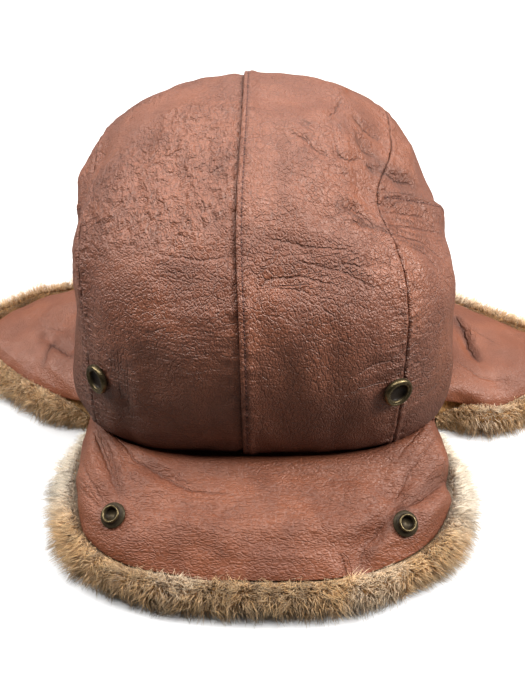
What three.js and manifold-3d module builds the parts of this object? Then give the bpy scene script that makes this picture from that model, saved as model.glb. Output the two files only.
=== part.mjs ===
// A bomber hat lying on a table with its flaps down: a hollow leather crown sewn from six panels, a front
// flap that snaps up to the crown, two ear flaps and a neck flap, each lined with deep fur that stands out
// past the leather. Millimetres, +Z up, the front of the hat towards -Y. Left and right are as seen from the
// front, so +X is right.
import * as THREE from "three";
import { mergeVertices } from "three/addons/utils/BufferGeometryUtils.js";
import Module from "manifold-3d";

const wasm = await Module();
wasm.setup();

// Driving sizes
const leatherWall = 2.2;
const seamGap = 0.5; // between two sewn panels
const restGap = 0.35; // between a piece and what carries it
const rimHeight = 20; // the crown's lower edge, carried by the fur of the flaps
const crownCentreY = -2;
const centreSeamX = -9; // the crown has slumped, so its middle seam lies off centre
const topPanelWidth = 70; // from the middle seam to each side seam
const lockDepth = 2.4; // a lock's tip stands this much out of the roll of fur, and the notch as much in

// How finely the soft forms are faceted
const crownColumns = 48;
const crownRows = 11;
const flapRows = [0, 0.05, 0.14, 0.28, 0.48, 0.7, 0.88, 1];

// The crown from its rim to its top: half widths to each side, reach to the front and back, and how square
// the plan is there (2 is an ellipse).
const crownSections = [
  { z: rimHeight, right: 90, left: 88, front: 93, back: 88, squareFront: 4.0, squareBack: 2.6 },
  { z: 33, right: 98, left: 98, front: 101, back: 97, squareFront: 3.6, squareBack: 2.6 },
  { z: 52, right: 97, left: 95, front: 105, back: 102, squareFront: 3.2, squareBack: 2.6 },
  { z: 76, right: 92, left: 91, front: 105, back: 103, squareFront: 3.0, squareBack: 2.5 },
  { z: 98, right: 87, left: 90, front: 100, back: 98, squareFront: 2.9, squareBack: 2.4 },
  { z: 117, right: 80, left: 87, front: 89, back: 88, squareFront: 2.8, squareBack: 2.3 },
  { z: 133, right: 67, left: 75, front: 72, back: 72, squareFront: 2.6, squareBack: 2.2 },
  { z: 145, right: 50, left: 55, front: 52, back: 52, squareFront: 2.4, squareBack: 2.1 },
  { z: 153, right: 28, left: 31, front: 29, back: 29, squareFront: 2.2, squareBack: 2.0 },
  { z: 155.5, right: 0, left: 0, front: 0, back: 0, squareFront: 2.0, squareBack: 2.0 },
];
const crownCore = new THREE.Vector3(0, crownCentreY, 60);
const plainRim = 12; // height over which the folds begin above the sewn rim
const rootInset = 0.7 * leatherWall; // of a flap's root inside the crown's skin
const rootLand = 3.6; // width of a flap's level strip under the rim
const endDroop = 3; // of a flap's tapered ends

// Dents (depth above zero) and puffed places (below zero) of the crown, each along a line.
const crownFolds = [
  { name: "dent over the right corner", from: [46, -46, 126], to: [52, -10, 134], reach: 13, depth: 7 },
  { name: "hollow behind the right corner", from: [70, -14, 112], to: [74, 14, 110], reach: 13, depth: 5 },
  { name: "crease under the seam joint", from: [26, -62, 130], to: [42, -66, 117], reach: 8, depth: 3.5 },
  { name: "puffed right corner", from: [56, -66, 98], to: [76, -44, 86], reach: 21, depth: -5 },
  { name: "puffed right brow", from: [20, -60, 138], to: [26, -30, 150], reach: 20, depth: -2 },
  { name: "hollow of the left brow", from: [-34, -84, 110], to: [-30, -48, 140], reach: 12, depth: 2.2 },
  { name: "dent of the left corner", from: [-82, -34, 112], to: [-76, -8, 128], reach: 12, depth: 4 },
  { name: "fold at the left socket", from: [-62, -96, 34], to: [-60, -98, 52], reach: 7, depth: 2 },
  { name: "dent at the back", from: [-18, 80, 112], to: [24, 84, 104], reach: 22, depth: 4 },
  { name: "raised back of the right brow", from: [40, 12, 146], to: [54, 18, 137], reach: 14, depth: -3 },
  { name: "raised corner behind the left seam", from: [-90, -16, 108], to: [-90, -6, 112], reach: 9, depth: -3 },
  { name: "puffed back right", from: [52, 66, 98], to: [66, 54, 78], reach: 24, depth: -3 },
];

// Where the seams pull the leather along, after it is cut into panels.
const seamPulls = [
  { name: "side seam at its joint", at: [61, -46, 126], reach: 27, shift: [-12, 0, 0] },
  { name: "middle seam over the brow", at: [centreSeamX, -62, 118], reach: 34, shift: [-2.4, 0, 0] },
];

// A flap is sewn to the rim from bearing to bearing. Each row of its table is a section: the bearing of its
// root, and where it ends in plan. Heights are of the leather's top at the shares of its length in flapRows.
const frontSections = [
  { bearing: -143.6, x: -88, y: -68 },
  { bearing: -137, x: -89, y: -92 },
  { bearing: -129, x: -87, y: -116 },
  { bearing: -120, x: -79, y: -137 },
  { bearing: -111, x: -60, y: -151 },
  { bearing: -101, x: -32, y: -157 },
  { bearing: -90, x: 0, y: -159 },
  { bearing: -79, x: 30, y: -158 },
  { bearing: -69, x: 57, y: -151 },
  { bearing: -60, x: 78, y: -137 },
  { bearing: -51, x: 88, y: -116 },
  { bearing: -43, x: 89, y: -92 },
  { bearing: -36.4, x: 87, y: -68 },
];
const skirtSections = [
  { bearing: -34.6, x: 90, y: -58 },
  { bearing: -30, x: 104, y: -56 },
  { bearing: -25, x: 122, y: -57 },
  { bearing: -19, x: 142, y: -48 },
  { bearing: -12, x: 163, y: -37 },
  { bearing: -5, x: 179, y: -24 },
  { bearing: 1, x: 174, y: -10 },
  { bearing: 6, x: 159, y: -2 },
  { bearing: 10, x: 145, y: 7 },
  { bearing: 14, x: 130, y: 17 },
  { bearing: 19, x: 115, y: 27 },
  { bearing: 26, x: 104, y: 39 },
  { bearing: 33, x: 99, y: 53 },
  { bearing: 43, x: 98, y: 74 },
  { bearing: 54, x: 88, y: 98 },
  { bearing: 66, x: 64, y: 115 },
  { bearing: 78, x: 32, y: 124 },
  { bearing: 90, x: 0, y: 126 },
  { bearing: 102, x: -32, y: 124 },
  { bearing: 114, x: -64, y: 115 },
  { bearing: 126, x: -88, y: 98 },
  { bearing: 137, x: -98, y: 74 },
  { bearing: 147, x: -98, y: 53 },
  { bearing: 154, x: -105, y: 43 },
  { bearing: 161, x: -119, y: 38 },
  { bearing: 166, x: -137, y: 33 },
  { bearing: 171, x: -153, y: 20 },
  { bearing: 177, x: -164, y: 5 },
  { bearing: 183, x: -162, y: -8 },
  { bearing: 189, x: -149, y: -20 },
  { bearing: 195, x: -134, y: -33 },
  { bearing: 201, x: -116, y: -45 },
  { bearing: 208, x: -102, y: -53 },
  { bearing: 214.6, x: -90, y: -59 },
];
const frontHeights = [19.6, 19.5, 26.4, 28.8, 28.2, 25.6, 20.6, 13];
const skirtHeights = [19.6, 19.5, 21.4, 22.2, 21, 18, 14.2, 10];
const frontFolds = [
  { name: "fold round the right stud", from: [89, -108], to: [58, -124], reach: 5, depth: 2.4 },
  { name: "its lower end", from: [58, -124], to: [42, -150], reach: 6, depth: 2.4 },
  { name: "gathers at the left root", from: [-80, -82], to: [-62, -116], reach: 5, depth: 1.8 },
  { name: "dent of the lower edge", from: [-26, -148], to: [-24, -160], reach: 9, depth: 1.8 },
  { name: "hollow below the ridge", from: [-40, -122], to: [30, -126], reach: 11, depth: 1.4 },
];
const skirtFolds = [
  { name: "dart at the right root", from: [107, 0], to: [115, -26], reach: 4, depth: 2.2 },
  { name: "ripple of the right ear", from: [122, -20], to: [128, -54], reach: 7, depth: 1.6 },
  { name: "wave of the neck", from: [-30, 94], to: [-36, 124], reach: 12, depth: 1.8 },
  { name: "dart at the left root", from: [-122, -10], to: [-106, -24], reach: 4, depth: 2.2 },
  { name: "ripple of the left ear", from: [-112, 6], to: [-128, -30], reach: 7, depth: 1.4 },
];
const front = { sections: frontSections, heights: frontHeights, folds: frontFolds };
const skirt = { sections: skirtSections, heights: skirtHeights, folds: skirtFolds };
// The pieces cut from these two shapes, from row to row of their tables, with their columns of facets
// between two rows.
const flapPieces = [
  { name: "front", shape: front, first: 0, last: 12, columns: 3 },
  { name: "ear_right", shape: skirt, first: 0, last: 12, columns: 2 },
  { name: "neck", shape: skirt, first: 12, last: 22, columns: 2 },
  { name: "ear_left", shape: skirt, first: 22, last: 33, columns: 2 },
];
const taperRows = 1.7; // rows over which a flap and its fur grow from nothing at a free end
const endRows = 0.12; // rows left out at a free end, so that it has a real end face
const joinRows = 0.04; // and at an end sewn to the next piece

// The fur outside the leather's edge, in a section across it: how far out and how high, and how much of
// the locks' depth each point takes.
const furRoll = [
  { out: 0.6, z: 8, lock: 0 },
  { out: 3, z: 14.5, lock: 0.3 },
  { out: 8, z: 16, lock: 1 },
  { out: 13, z: 9, lock: 1.3 },
  { out: 11, z: 2.4, lock: 0.6 },
  { out: 8, z: 0, lock: 0 },
];

// Finishes
const leather = { color: 0x7c4a3a, roughness: 0.55, metalness: 0 };
const fur = { color: 0xb58b5a, roughness: 0.95, metalness: 0 };
const antiqueBrass = { color: 0x8a7a52, roughness: 0.35, metalness: 1 };

const degrees = THREE.MathUtils.degToRad;
const { smoothstep, lerp } = THREE.MathUtils;

// A value from a column of a table, on a smooth curve through its rows; share runs from 0 to 1.
function along(rows, column, share) {
  const at = Math.min(Math.max(share, 0), 1) * (rows.length - 1);
  const i = Math.min(Math.floor(at), rows.length - 2);
  const t = at - i;
  const row = (k) => rows[Math.min(Math.max(k, 0), rows.length - 1)][column];
  const [a, b, c, d] = [row(i - 1), row(i), row(i + 1), row(i + 2)];
  const curve = 2 * b + (c - a) * t + (2 * a - 5 * b + 4 * c - d) * t ** 2 + (3 * b - a - 3 * c + d) * t ** 3;
  return curve / 2;
}

// How deep the folds of a table press at a point; in plan only where the fold's ends have two numbers.
function foldDepth(folds, point) {
  let depth = 0;
  for (const fold of folds) {
    const from = new THREE.Vector3(...fold.from);
    const to = new THREE.Vector3(...fold.to);
    const here = fold.from.length === 2 ? new THREE.Vector3(point.x, point.y, 0) : point;
    if (fold.from.length === 2) {
      from.z = 0;
      to.z = 0;
    }
    const nearest = new THREE.Line3(from, to).closestPointToPoint(here, true, new THREE.Vector3());
    depth += fold.depth * Math.exp(-((here.distanceTo(nearest) / fold.reach) ** 2));
  }
  return depth;
}

// The crown's outer skin at a bearing (0 is +X, 90 degrees is +Y) and a share of the way from rim to top.
function crownSkin(bearing, share) {
  const value = (column) => along(crownSections, column, share);
  const [c, s] = [Math.cos(bearing), Math.sin(bearing)];
  const side = Math.max(value(c > 0 ? "right" : "left"), 0);
  const reach = Math.max(value(s > 0 ? "back" : "front"), 0);
  if (side < 1e-6 || reach < 1e-6) return new THREE.Vector3(0, crownCentreY, value("z"));
  const square = lerp(value("squareBack"), value("squareFront"), smoothstep(-s, -0.6, 0.6));
  const radius = ((Math.abs(c) / side) ** square + (Math.abs(s) / reach) ** square) ** (-1 / square);
  const point = new THREE.Vector3(radius * c, crownCentreY + radius * s, value("z"));
  const outward = point.clone().sub(crownCore).normalize();
  const keep = smoothstep(point.z, rimHeight, rimHeight + plainRim);
  return point.addScaledVector(outward, -keep * foldDepth(crownFolds, point));
}

// The unit normal of a surface given as a function of two parameters.
function normalOf(surface, a, b, step) {
  const alongA = surface(a + step, b).sub(surface(a - step, b));
  const alongB = surface(a, b + step).sub(surface(a, b - step));
  return alongA.cross(alongB).normalize();
}

// A closed geometry from points and triangles.
function geometryOf(points, triangles) {
  const geometry = new THREE.BufferGeometry();
  geometry.setAttribute("position", new THREE.Float32BufferAttribute(points.flatMap((p) => p.toArray()), 3));
  geometry.setIndex(triangles);
  return mergeVertices(geometry, 1e-3);
}

// Rings of points, each closed on itself, joined one to the next and closed by a point at each end.
function closedRings(rings, firstEnd, lastEnd) {
  const points = [...rings.flat(), firstEnd, lastEnd];
  const [n, first, last] = [rings[0].length, points.length - 2, points.length - 1];
  const triangles = [];
  for (let j = 0; j < n; j++) {
    const k = (j + 1) % n;
    triangles.push(first, j, k);
    for (let i = 0; i + 1 < rings.length; i++) {
      const [a, b, c, d] = [i * n + j, i * n + k, (i + 1) * n + j, (i + 1) * n + k];
      triangles.push(a, c, b, b, c, d);
    }
    const from = (rings.length - 1) * n;
    triangles.push(last, from + k, from + j);
  }
  return geometryOf(points, triangles);
}

// A wall between two grids of points with the same rows and columns, closed round its four sides.
function closedWall(upper, lower) {
  const [rows, columns] = [upper.length, upper[0].length];
  const points = [...upper.flat(), ...lower.flat()];
  const top = (i, j) => i * columns + j;
  const under = (i, j) => rows * columns + top(i, j);
  const triangles = [];
  const quad = (a, b, c, d) => triangles.push(a, b, c, a, c, d);
  for (let i = 0; i + 1 < rows; i++) {
    for (let j = 0; j + 1 < columns; j++) {
      quad(top(i, j), top(i, j + 1), top(i + 1, j + 1), top(i + 1, j));
      quad(under(i, j), under(i + 1, j), under(i + 1, j + 1), under(i, j + 1));
    }
    quad(top(i, 0), top(i + 1, 0), under(i + 1, 0), under(i, 0));
    quad(top(i + 1, columns - 1), top(i, columns - 1), under(i, columns - 1), under(i + 1, columns - 1));
  }
  for (let j = 0; j + 1 < columns; j++) {
    quad(top(0, j + 1), top(0, j), under(0, j), under(0, j + 1));
    quad(top(rows - 1, j), top(rows - 1, j + 1), under(rows - 1, j + 1), under(rows - 1, j));
  }
  return geometryOf(points, triangles);
}

// A geometry as a solid that can be cut, and back.
function solidOf(geometry) {
  const bare = geometry.clone();
  bare.deleteAttribute("normal");
  bare.deleteAttribute("uv");
  const merged = mergeVertices(bare, 1e-3);
  const vertProperties = merged.getAttribute("position").array;
  const triVerts = Uint32Array.from(merged.index.array);
  return new wasm.Manifold(new wasm.Mesh({ numProp: 3, vertProperties, triVerts }));
}

function geometryFrom(solid) {
  const mesh = solid.getMesh();
  const geometry = new THREE.BufferGeometry();
  geometry.setAttribute("position", new THREE.BufferAttribute(mesh.vertProperties, 3));
  geometry.setIndex(new THREE.BufferAttribute(mesh.triVerts, 1));
  return geometry;
}

function piece(name, geometry, finish) {
  const mesh = new THREE.Mesh(geometry, new THREE.MeshStandardMaterial(finish));
  mesh.name = name;
  return mesh;
}

// The whole crown as one hollow shell, open at the rim.
function crownShell() {
  const outer = [];
  const inner = [];
  for (let i = 0; i < crownRows; i++) {
    const share = i / crownRows;
    const ring = [];
    const innerRing = [];
    for (let j = 0; j < crownColumns; j++) {
      const bearing = (2 * Math.PI * j) / crownColumns;
      const point = crownSkin(bearing, share);
      const outward = normalOf(crownSkin, bearing, Math.max(share, 0.01), 0.01);
      if (i === 0) outward.setZ(0).normalize(); // the rim's edge is level
      ring.push(point);
      innerRing.push(point.clone().addScaledVector(outward, -leatherWall));
    }
    outer.push(ring);
    inner.push(innerRing);
  }
  const top = crownSkin(0, 1);
  const underTop = top.clone().setZ(top.z - leatherWall);
  return closedRings([...outer.reverse(), ...inner], top, underTop);
}

// A block that holds everything on one side of a plane through a point.
function halfSpace(point, facing) {
  const size = 600;
  const block = new THREE.BoxGeometry(size, size, size);
  const turn = new THREE.Quaternion().setFromUnitVectors(new THREE.Vector3(0, 0, 1), facing);
  const centre = point.clone().addScaledVector(facing, size / 2 + seamGap / 2);
  block.applyMatrix4(new THREE.Matrix4().compose(centre, turn, new THREE.Vector3(1, 1, 1)));
  return solidOf(block);
}

// A panel drawn along where its seams pull it.
function pulled(geometry) {
  const positions = geometry.getAttribute("position");
  const point = new THREE.Vector3();
  for (let i = 0; i < positions.count; i++) {
    point.fromBufferAttribute(positions, i);
    const whole = point.clone();
    for (const pull of seamPulls) {
      const near = Math.exp(-((whole.distanceTo(new THREE.Vector3(...pull.at)) / pull.reach) ** 2));
      point.addScaledVector(new THREE.Vector3(...pull.shift), near);
    }
    positions.setXYZ(i, point.x, point.y, point.z);
  }
  return geometry;
}

// The crown cut along its seams: two top panels from front to back, and on each side a panel over the ear
// and one behind it, which meet at a seam that drops from the side seam to the back of the ear flap.
function crownPanels() {
  const shell = solidOf(crownShell());
  const panels = [];
  for (const [side, sign] of [["right", 1], ["left", -1]]) {
    const outward = new THREE.Vector3(sign, 0, 0);
    const middle = new THREE.Vector3(centreSeamX, 0, 0);
    const sideSeam = middle.clone().addScaledVector(outward, topPanelWidth);
    const half = shell.intersect(halfSpace(middle, outward));
    const top = half.intersect(halfSpace(sideSeam, outward.clone().negate()));
    const flank = half.intersect(halfSpace(sideSeam, outward));
    const [high, low] = [new THREE.Vector3(50 * sign, -46, 131), new THREE.Vector3(85 * sign, -12, 102)];
    const across = high.clone().sub(crownCore).cross(low.sub(crownCore)).normalize();
    const backward = across.multiplyScalar(Math.sign(across.y));
    const overEar = flank.intersect(halfSpace(crownCore, backward.clone().negate()));
    const behind = flank.intersect(halfSpace(crownCore, backward));
    panels.push(piece(`crown_top_${side}`, pulled(geometryFrom(top)), leather));
    panels.push(piece(`ear_panel_${side}`, pulled(geometryFrom(overEar)), leather));
    panels.push(piece(`back_panel_${side}`, pulled(geometryFrom(behind)), leather));
  }
  return panels;
}

// The leather top of a flap: a place along its root in rows of its table, and a share of the way out.
function flapSkin(shape) {
  const lastRow = shape.sections.length - 1;
  const profile = shape.heights.map((height, i) => ({ share: flapRows[i], height }));
  const height = (w) => {
    const i = Math.max(profile.findIndex((row) => row.share >= w - 1e-9), 1);
    const part = (w - profile[i - 1].share) / (profile[i].share - profile[i - 1].share);
    return along(profile, "height", (i - 1 + part) / (profile.length - 1));
  };
  const land = flapRows[1];
  return (row, w) => {
    const share = row / lastRow;
    const bearing = degrees(along(shape.sections, "bearing", share));
    const root = crownSkin(bearing, 0);
    root.x -= rootInset * Math.cos(bearing);
    root.y -= rootInset * Math.sin(bearing);
    const end = new THREE.Vector3(along(shape.sections, "x", share), along(shape.sections, "y", share), root.z);
    const landShare = rootLand / root.distanceTo(end);
    const out = w < land ? (w / land) * landShare : lerp(landShare, 1, (w - land) / (1 - land));
    const point = root.lerp(end, out).setZ(0);
    const full = smoothstep(Math.min(row, lastRow - row), 0, taperRows);
    const rise = full * (height(w) - shape.heights[0]) - (1 - full) * endDroop * w;
    point.z = shape.heights[0] + rise - smoothstep(w, 0.05, 0.2) * foldDepth(shape.folds, point);
    return point;
  };
}

// The rows at which a piece of a flap has its columns of facets.
function columnsOf(part) {
  const free = (row) => row === 0 || row === part.shape.sections.length - 1;
  const from = part.first + (free(part.first) ? endRows : joinRows);
  const to = part.last - (free(part.last) ? endRows : joinRows);
  const count = part.columns * (part.last - part.first);
  return Array.from({ length: count + 1 }, (_, i) => lerp(from, to, i / count));
}

// A point at a depth under a flap's top, against its normal; the sewn root is cut square.
function flapUnder(skin, row, w, depth) {
  const down = normalOf(skin, row, Math.min(Math.max(w, 0.02), 0.98), 0.01);
  if (down.z > 0) down.negate();
  const point = skin(row, w);
  if (w === 0) return point.setZ(point.z + depth * down.z);
  return point.addScaledVector(down, depth);
}

function flapLeather(part) {
  const skin = flapSkin(part.shape);
  const columns = columnsOf(part);
  const upper = columns.map((row) => flapRows.map((w) => skin(row, w)));
  const lower = columns.map((row) => flapRows.map((w) => flapUnder(skin, row, w, leatherWall)));
  return closedWall(upper, lower);
}

// The fur under a flap: a pad that fills the space down to the table, and a roll of locks round its edge,
// a lock to every two columns.
function flapFur(part) {
  const skin = flapSkin(part.shape);
  const lastRow = part.shape.sections.length - 1;
  const cover = leatherWall + restGap;
  const rings = columnsOf(part).map((row, column) => {
    const ring = flapRows.map((w) => flapUnder(skin, row, w, cover));
    const [edge, end] = [ring.at(-1), skin(row, 1)];
    const tangent = skin(row + 0.01, 1).sub(skin(row - 0.01, 1));
    const outward = new THREE.Vector3(tangent.y, -tangent.x, 0).normalize();
    const grown = smoothstep(Math.min(row, lastRow - row), 0, taperRows);
    const lock = (column % 2 ? 1 : -1) * lockDepth * (1 + 0.35 * Math.sin(2.3 * column));
    for (const point of furRoll) {
      const out = restGap + grown * (point.out + lock * point.lock);
      const high = lerp(Math.min(point.z, edge.z - restGap), point.z, grown);
      ring.push(new THREE.Vector3(end.x, end.y, high).addScaledVector(outward, out));
    }
    ring.push(skin(row, 0).setZ(0));
    return ring;
  });
  const middle = (ring) => {
    const sum = ring.reduce((total, p) => total.add(p), new THREE.Vector3());
    return sum.divideScalar(ring.length);
  };
  return closedRings(rings.reverse(), middle(rings[0]), middle(rings.at(-1)));
}

// Snap fasteners: a ring socket on the crown, and a hollow stud on the flap. Profiles run round the wall
// of the turned part, as radius and height.
const socketProfile = [[0, 0], [6.9, 0], [6.9, 1], [6.5, 2.3], [5.6, 2.9], [4.6, 2.4], [4.2, 0.9], [0, 0.9]];
const studProfile = [[0, 0], [5.8, 0], [5.6, 0.8], [3.3, 1.1], [3.8, 2.7], [3.5, 3.4], [2.7, 3.2], [2.4, 1],
  [0, 1]];

function snap(name, profile, skin, a, b, tilt) {
  const turned = new THREE.LatheGeometry(profile.map(([r, z]) => new THREE.Vector2(r, z)), 16);
  turned.rotateX(Math.PI / 2);
  const mesh = piece(name, geometryFrom(solidOf(turned)), antiqueBrass);
  const outward = normalOf(skin, a, b, tilt);
  if (outward.dot(skin(a, b).sub(new THREE.Vector3(0, crownCentreY, 0))) < 0) outward.negate();
  mesh.quaternion.setFromUnitVectors(new THREE.Vector3(0, 0, 1), outward);
  mesh.position.copy(skin(a, b)).addScaledVector(outward, restGap + 0.25);
  return mesh;
}

// The parameters at which a surface comes nearest to a point, found on a grid and then refined.
function nearestOn(skin, target, [a0, a1], [b0, b1]) {
  let best = { a: (a0 + a1) / 2, b: (b0 + b1) / 2, far: Infinity };
  let [spanA, spanB] = [a1 - a0, b1 - b0];
  for (let round = 0; round < 8; round++) {
    const centre = { ...best };
    for (let i = -6; i <= 6; i++) {
      for (let j = -6; j <= 6; j++) {
        const [a, b] = [centre.a + (i * spanA) / 12, centre.b + (j * spanB) / 12];
        const far = skin(a, b).distanceTo(target);
        if (far < best.far) best = { a, b, far };
      }
    }
    spanA /= 3;
    spanB /= 3;
  }
  return best;
}

// The two sockets on the crown and the studs on the front flap that snap onto them.
const snapPlaces = [
  { side: "right", socket: [56.5, -96, 67], stud: [63, -138, 25], bearings: [-80, -40], rows: [7, 11] },
  { side: "left", socket: [-72, -87, 63.5], stud: [-66, -134, 25], bearings: [-140, -100], rows: [1, 5] },
];

function snaps() {
  const frontSkin = flapSkin(front);
  return snapPlaces.flatMap(({ side, socket, stud, bearings, rows }) => {
    const at = nearestOn(crownSkin, new THREE.Vector3(...socket), bearings.map(degrees), [0.1, 0.35]);
    const on = nearestOn(frontSkin, new THREE.Vector3(...stud), rows, [0.3, 0.95]);
    return [
      snap(`socket_${side}`, socketProfile, crownSkin, at.a, at.b, 0.03),
      snap(`stud_${side}`, studProfile, frontSkin, on.a, on.b, 0.1),
    ];
  });
}

const hat = new THREE.Group();
hat.add(...crownPanels());
for (const part of flapPieces) {
  hat.add(piece(`${part.name}_flap`, flapLeather(part), leather));
  hat.add(piece(`${part.name}_fur`, flapFur(part), fur));
}
hat.add(...snaps());

// The origin is under the middle of the whole hat, on the table.
const size = new THREE.Box3().setFromObject(hat);
const centre = size.getCenter(new THREE.Vector3());
hat.position.set(-centre.x, -centre.y, -size.min.z);

export default hat;
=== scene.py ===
"""Looks of a bomber hat that lies on a table with its flaps down: leather panels, fur, seams and snaps."""

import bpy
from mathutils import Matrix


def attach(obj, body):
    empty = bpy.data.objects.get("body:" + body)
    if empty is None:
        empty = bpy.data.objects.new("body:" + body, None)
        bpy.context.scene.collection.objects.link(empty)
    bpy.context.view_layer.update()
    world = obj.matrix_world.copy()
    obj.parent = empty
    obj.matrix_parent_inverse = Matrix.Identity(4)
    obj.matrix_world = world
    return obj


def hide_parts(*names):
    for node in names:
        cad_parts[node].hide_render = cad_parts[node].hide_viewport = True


bl_info = {
    "name": "Bomber Hat",
    "version": (1, 0, 0),
    "blender": (4, 5, 0),
    "location": "View3D > Sidebar > Bomber Hat",
    "description": "Builds the leather, fur, stitching and snaps of a bomber hat",
    "category": "Add Mesh",
}

import math
from functools import partial

import bpy
import numpy as np
from mathutils import Matrix, Vector

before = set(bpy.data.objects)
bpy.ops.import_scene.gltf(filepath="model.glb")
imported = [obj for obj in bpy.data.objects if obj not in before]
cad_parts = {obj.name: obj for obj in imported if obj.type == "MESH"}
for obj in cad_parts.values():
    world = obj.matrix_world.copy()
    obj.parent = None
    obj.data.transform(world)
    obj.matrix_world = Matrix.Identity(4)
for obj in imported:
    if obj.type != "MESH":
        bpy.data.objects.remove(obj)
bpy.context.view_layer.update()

# The shapes below are worked out in millimetres, in the hat's own frame, whose origin is under the crown.
MM = 0.001
HAT_ORIGIN = np.array((-6.0304, 16.5265, 0.0))

# The hat's sizes. They are the solids' sizes, apart from three that follow the photo more closely: the gap at
# the crown's seams, and how far the front flap rises at its two ends and along its ridge.
LEATHER_WALL = 2.2
SEAM_GAP = 0.14
END_RISE = 7.0
RIDGE_RISE = 1.6
REST_GAP = 0.35
RIM_HEIGHT = 20.0
CROWN_CENTRE_Y = -2.0
MIDDLE_SEAM_X = -9.0
TOP_PANEL_WIDTH = 70.0
PLAIN_RIM = 12.0
ROOT_INSET = 0.7 * LEATHER_WALL
ROOT_LAND = 3.6
END_DROOP = 3.0
TAPER_ROWS = 1.7
END_ROWS = 0.12
JOIN_ROWS = 0.04
CROWN_CORE = np.array((0.0, CROWN_CENTRE_Y, 60.0))
FLAP_ROWS = np.array((0, 0.05, 0.14, 0.28, 0.48, 0.7, 0.88, 1))


def table(names, *rows):
    """The named columns of a table, each as an array."""
    return dict(zip(names.split(), np.array(rows, float).T))


CROWN_SECTIONS = table(
    "z right left front back square_front square_back",
    (20, 90, 88, 93, 88, 4.0, 2.6),
    (33, 98, 98, 101, 97, 3.6, 2.6),
    (52, 97, 95, 105, 102, 3.2, 2.6),
    (76, 92, 91, 105, 103, 3.0, 2.5),
    (98, 87, 90, 100, 98, 2.9, 2.4),
    (117, 80, 87, 89, 88, 2.8, 2.3),
    (133, 67, 75, 72, 72, 2.6, 2.2),
    (145, 50, 55, 52, 52, 2.4, 2.1),
    (153, 28, 31, 29, 29, 2.2, 2.0),
    (155.5, 0, 0, 0, 0, 2.0, 2.0),
)
# Dents (depth above zero) and puffed places (below zero): from, to, reach, depth.
CROWN_FOLDS = (
    ((46, -46, 126), (52, -10, 134), 13, 7),
    ((70, -14, 112), (74, 14, 110), 13, 5),
    ((26, -62, 130), (42, -66, 117), 8, 3.5),
    ((56, -66, 98), (76, -44, 86), 21, -5),
    ((20, -60, 138), (26, -30, 150), 20, -2),
    ((-34, -84, 110), (-30, -48, 140), 12, 2.2),
    ((-82, -34, 112), (-76, -8, 128), 12, 4),
    ((-62, -96, 34), (-60, -98, 52), 7, 2),
    ((-18, 80, 112), (24, 84, 104), 22, 4),
    ((40, 12, 146), (54, 18, 137), 14, -3),
    ((-90, -16, 108), (-90, -6, 112), 9, -3),
    ((52, 66, 98), (66, 54, 78), 24, -3),
)
SNAPS = ("socket_left", "socket_right", "stud_left", "stud_right")
# Where the seams pull the leather along: at, reach, shift along x.
SEAM_PULLS = (
    ((61, -46, 126), 27, -12),
    ((MIDDLE_SEAM_X, -62, 118), 34, -2.4),
)
FRONT_SECTIONS = table(
    "bearing x y",
    (-143.6, -88, -68),
    (-137, -89, -92),
    (-129, -87, -116),
    (-120, -79, -137),
    (-111, -60, -151),
    (-101, -32, -157),
    (-90, 0, -159),
    (-79, 30, -158),
    (-69, 57, -151),
    (-60, 78, -137),
    (-51, 88, -116),
    (-43, 89, -92),
    (-36.4, 87, -68),
)
SKIRT_SECTIONS = table(
    "bearing x y",
    (-34.6, 90, -58),
    (-30, 104, -56),
    (-25, 122, -57),
    (-19, 142, -48),
    (-12, 163, -37),
    (-5, 179, -24),
    (1, 174, -10),
    (6, 159, -2),
    (10, 145, 7),
    (14, 130, 17),
    (19, 115, 27),
    (26, 104, 39),
    (33, 99, 53),
    (43, 98, 74),
    (54, 88, 98),
    (66, 64, 115),
    (78, 32, 124),
    (90, 0, 126),
    (102, -32, 124),
    (114, -64, 115),
    (126, -88, 98),
    (137, -98, 74),
    (147, -98, 53),
    (154, -105, 43),
    (161, -119, 38),
    (166, -137, 33),
    (171, -153, 20),
    (177, -164, 5),
    (183, -162, -8),
    (189, -149, -20),
    (195, -134, -33),
    (201, -116, -45),
    (208, -102, -53),
    (214.6, -90, -59),
)
FRONT_FOLDS = (
    ((89, -108), (58, -124), 5, 2.4),
    ((58, -124), (42, -150), 6, 2.4),
    ((-80, -82), (-62, -116), 5, 1.8),
    ((-26, -148), (-24, -160), 9, 1.8),
    ((-40, -122), (30, -126), 11, 1.4),
)
SKIRT_FOLDS = (
    ((107, 0), (115, -26), 4, 2.2),
    ((122, -20), (128, -54), 7, 1.6),
    ((-30, 94), (-36, 124), 12, 1.8),
    ((-122, -10), (-106, -24), 4, 2.2),
    ((-112, 6), (-128, -30), 7, 1.4),
)
# Creases with less reach than this are sharp: shallower by this share, with a thin line along them.
SHARP_REACH = 3.6
SHARP_DEPTH = 0.6
# The furthest that the distance to a crease is told to the leather's material.
CREASE_FAR = 8
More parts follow.
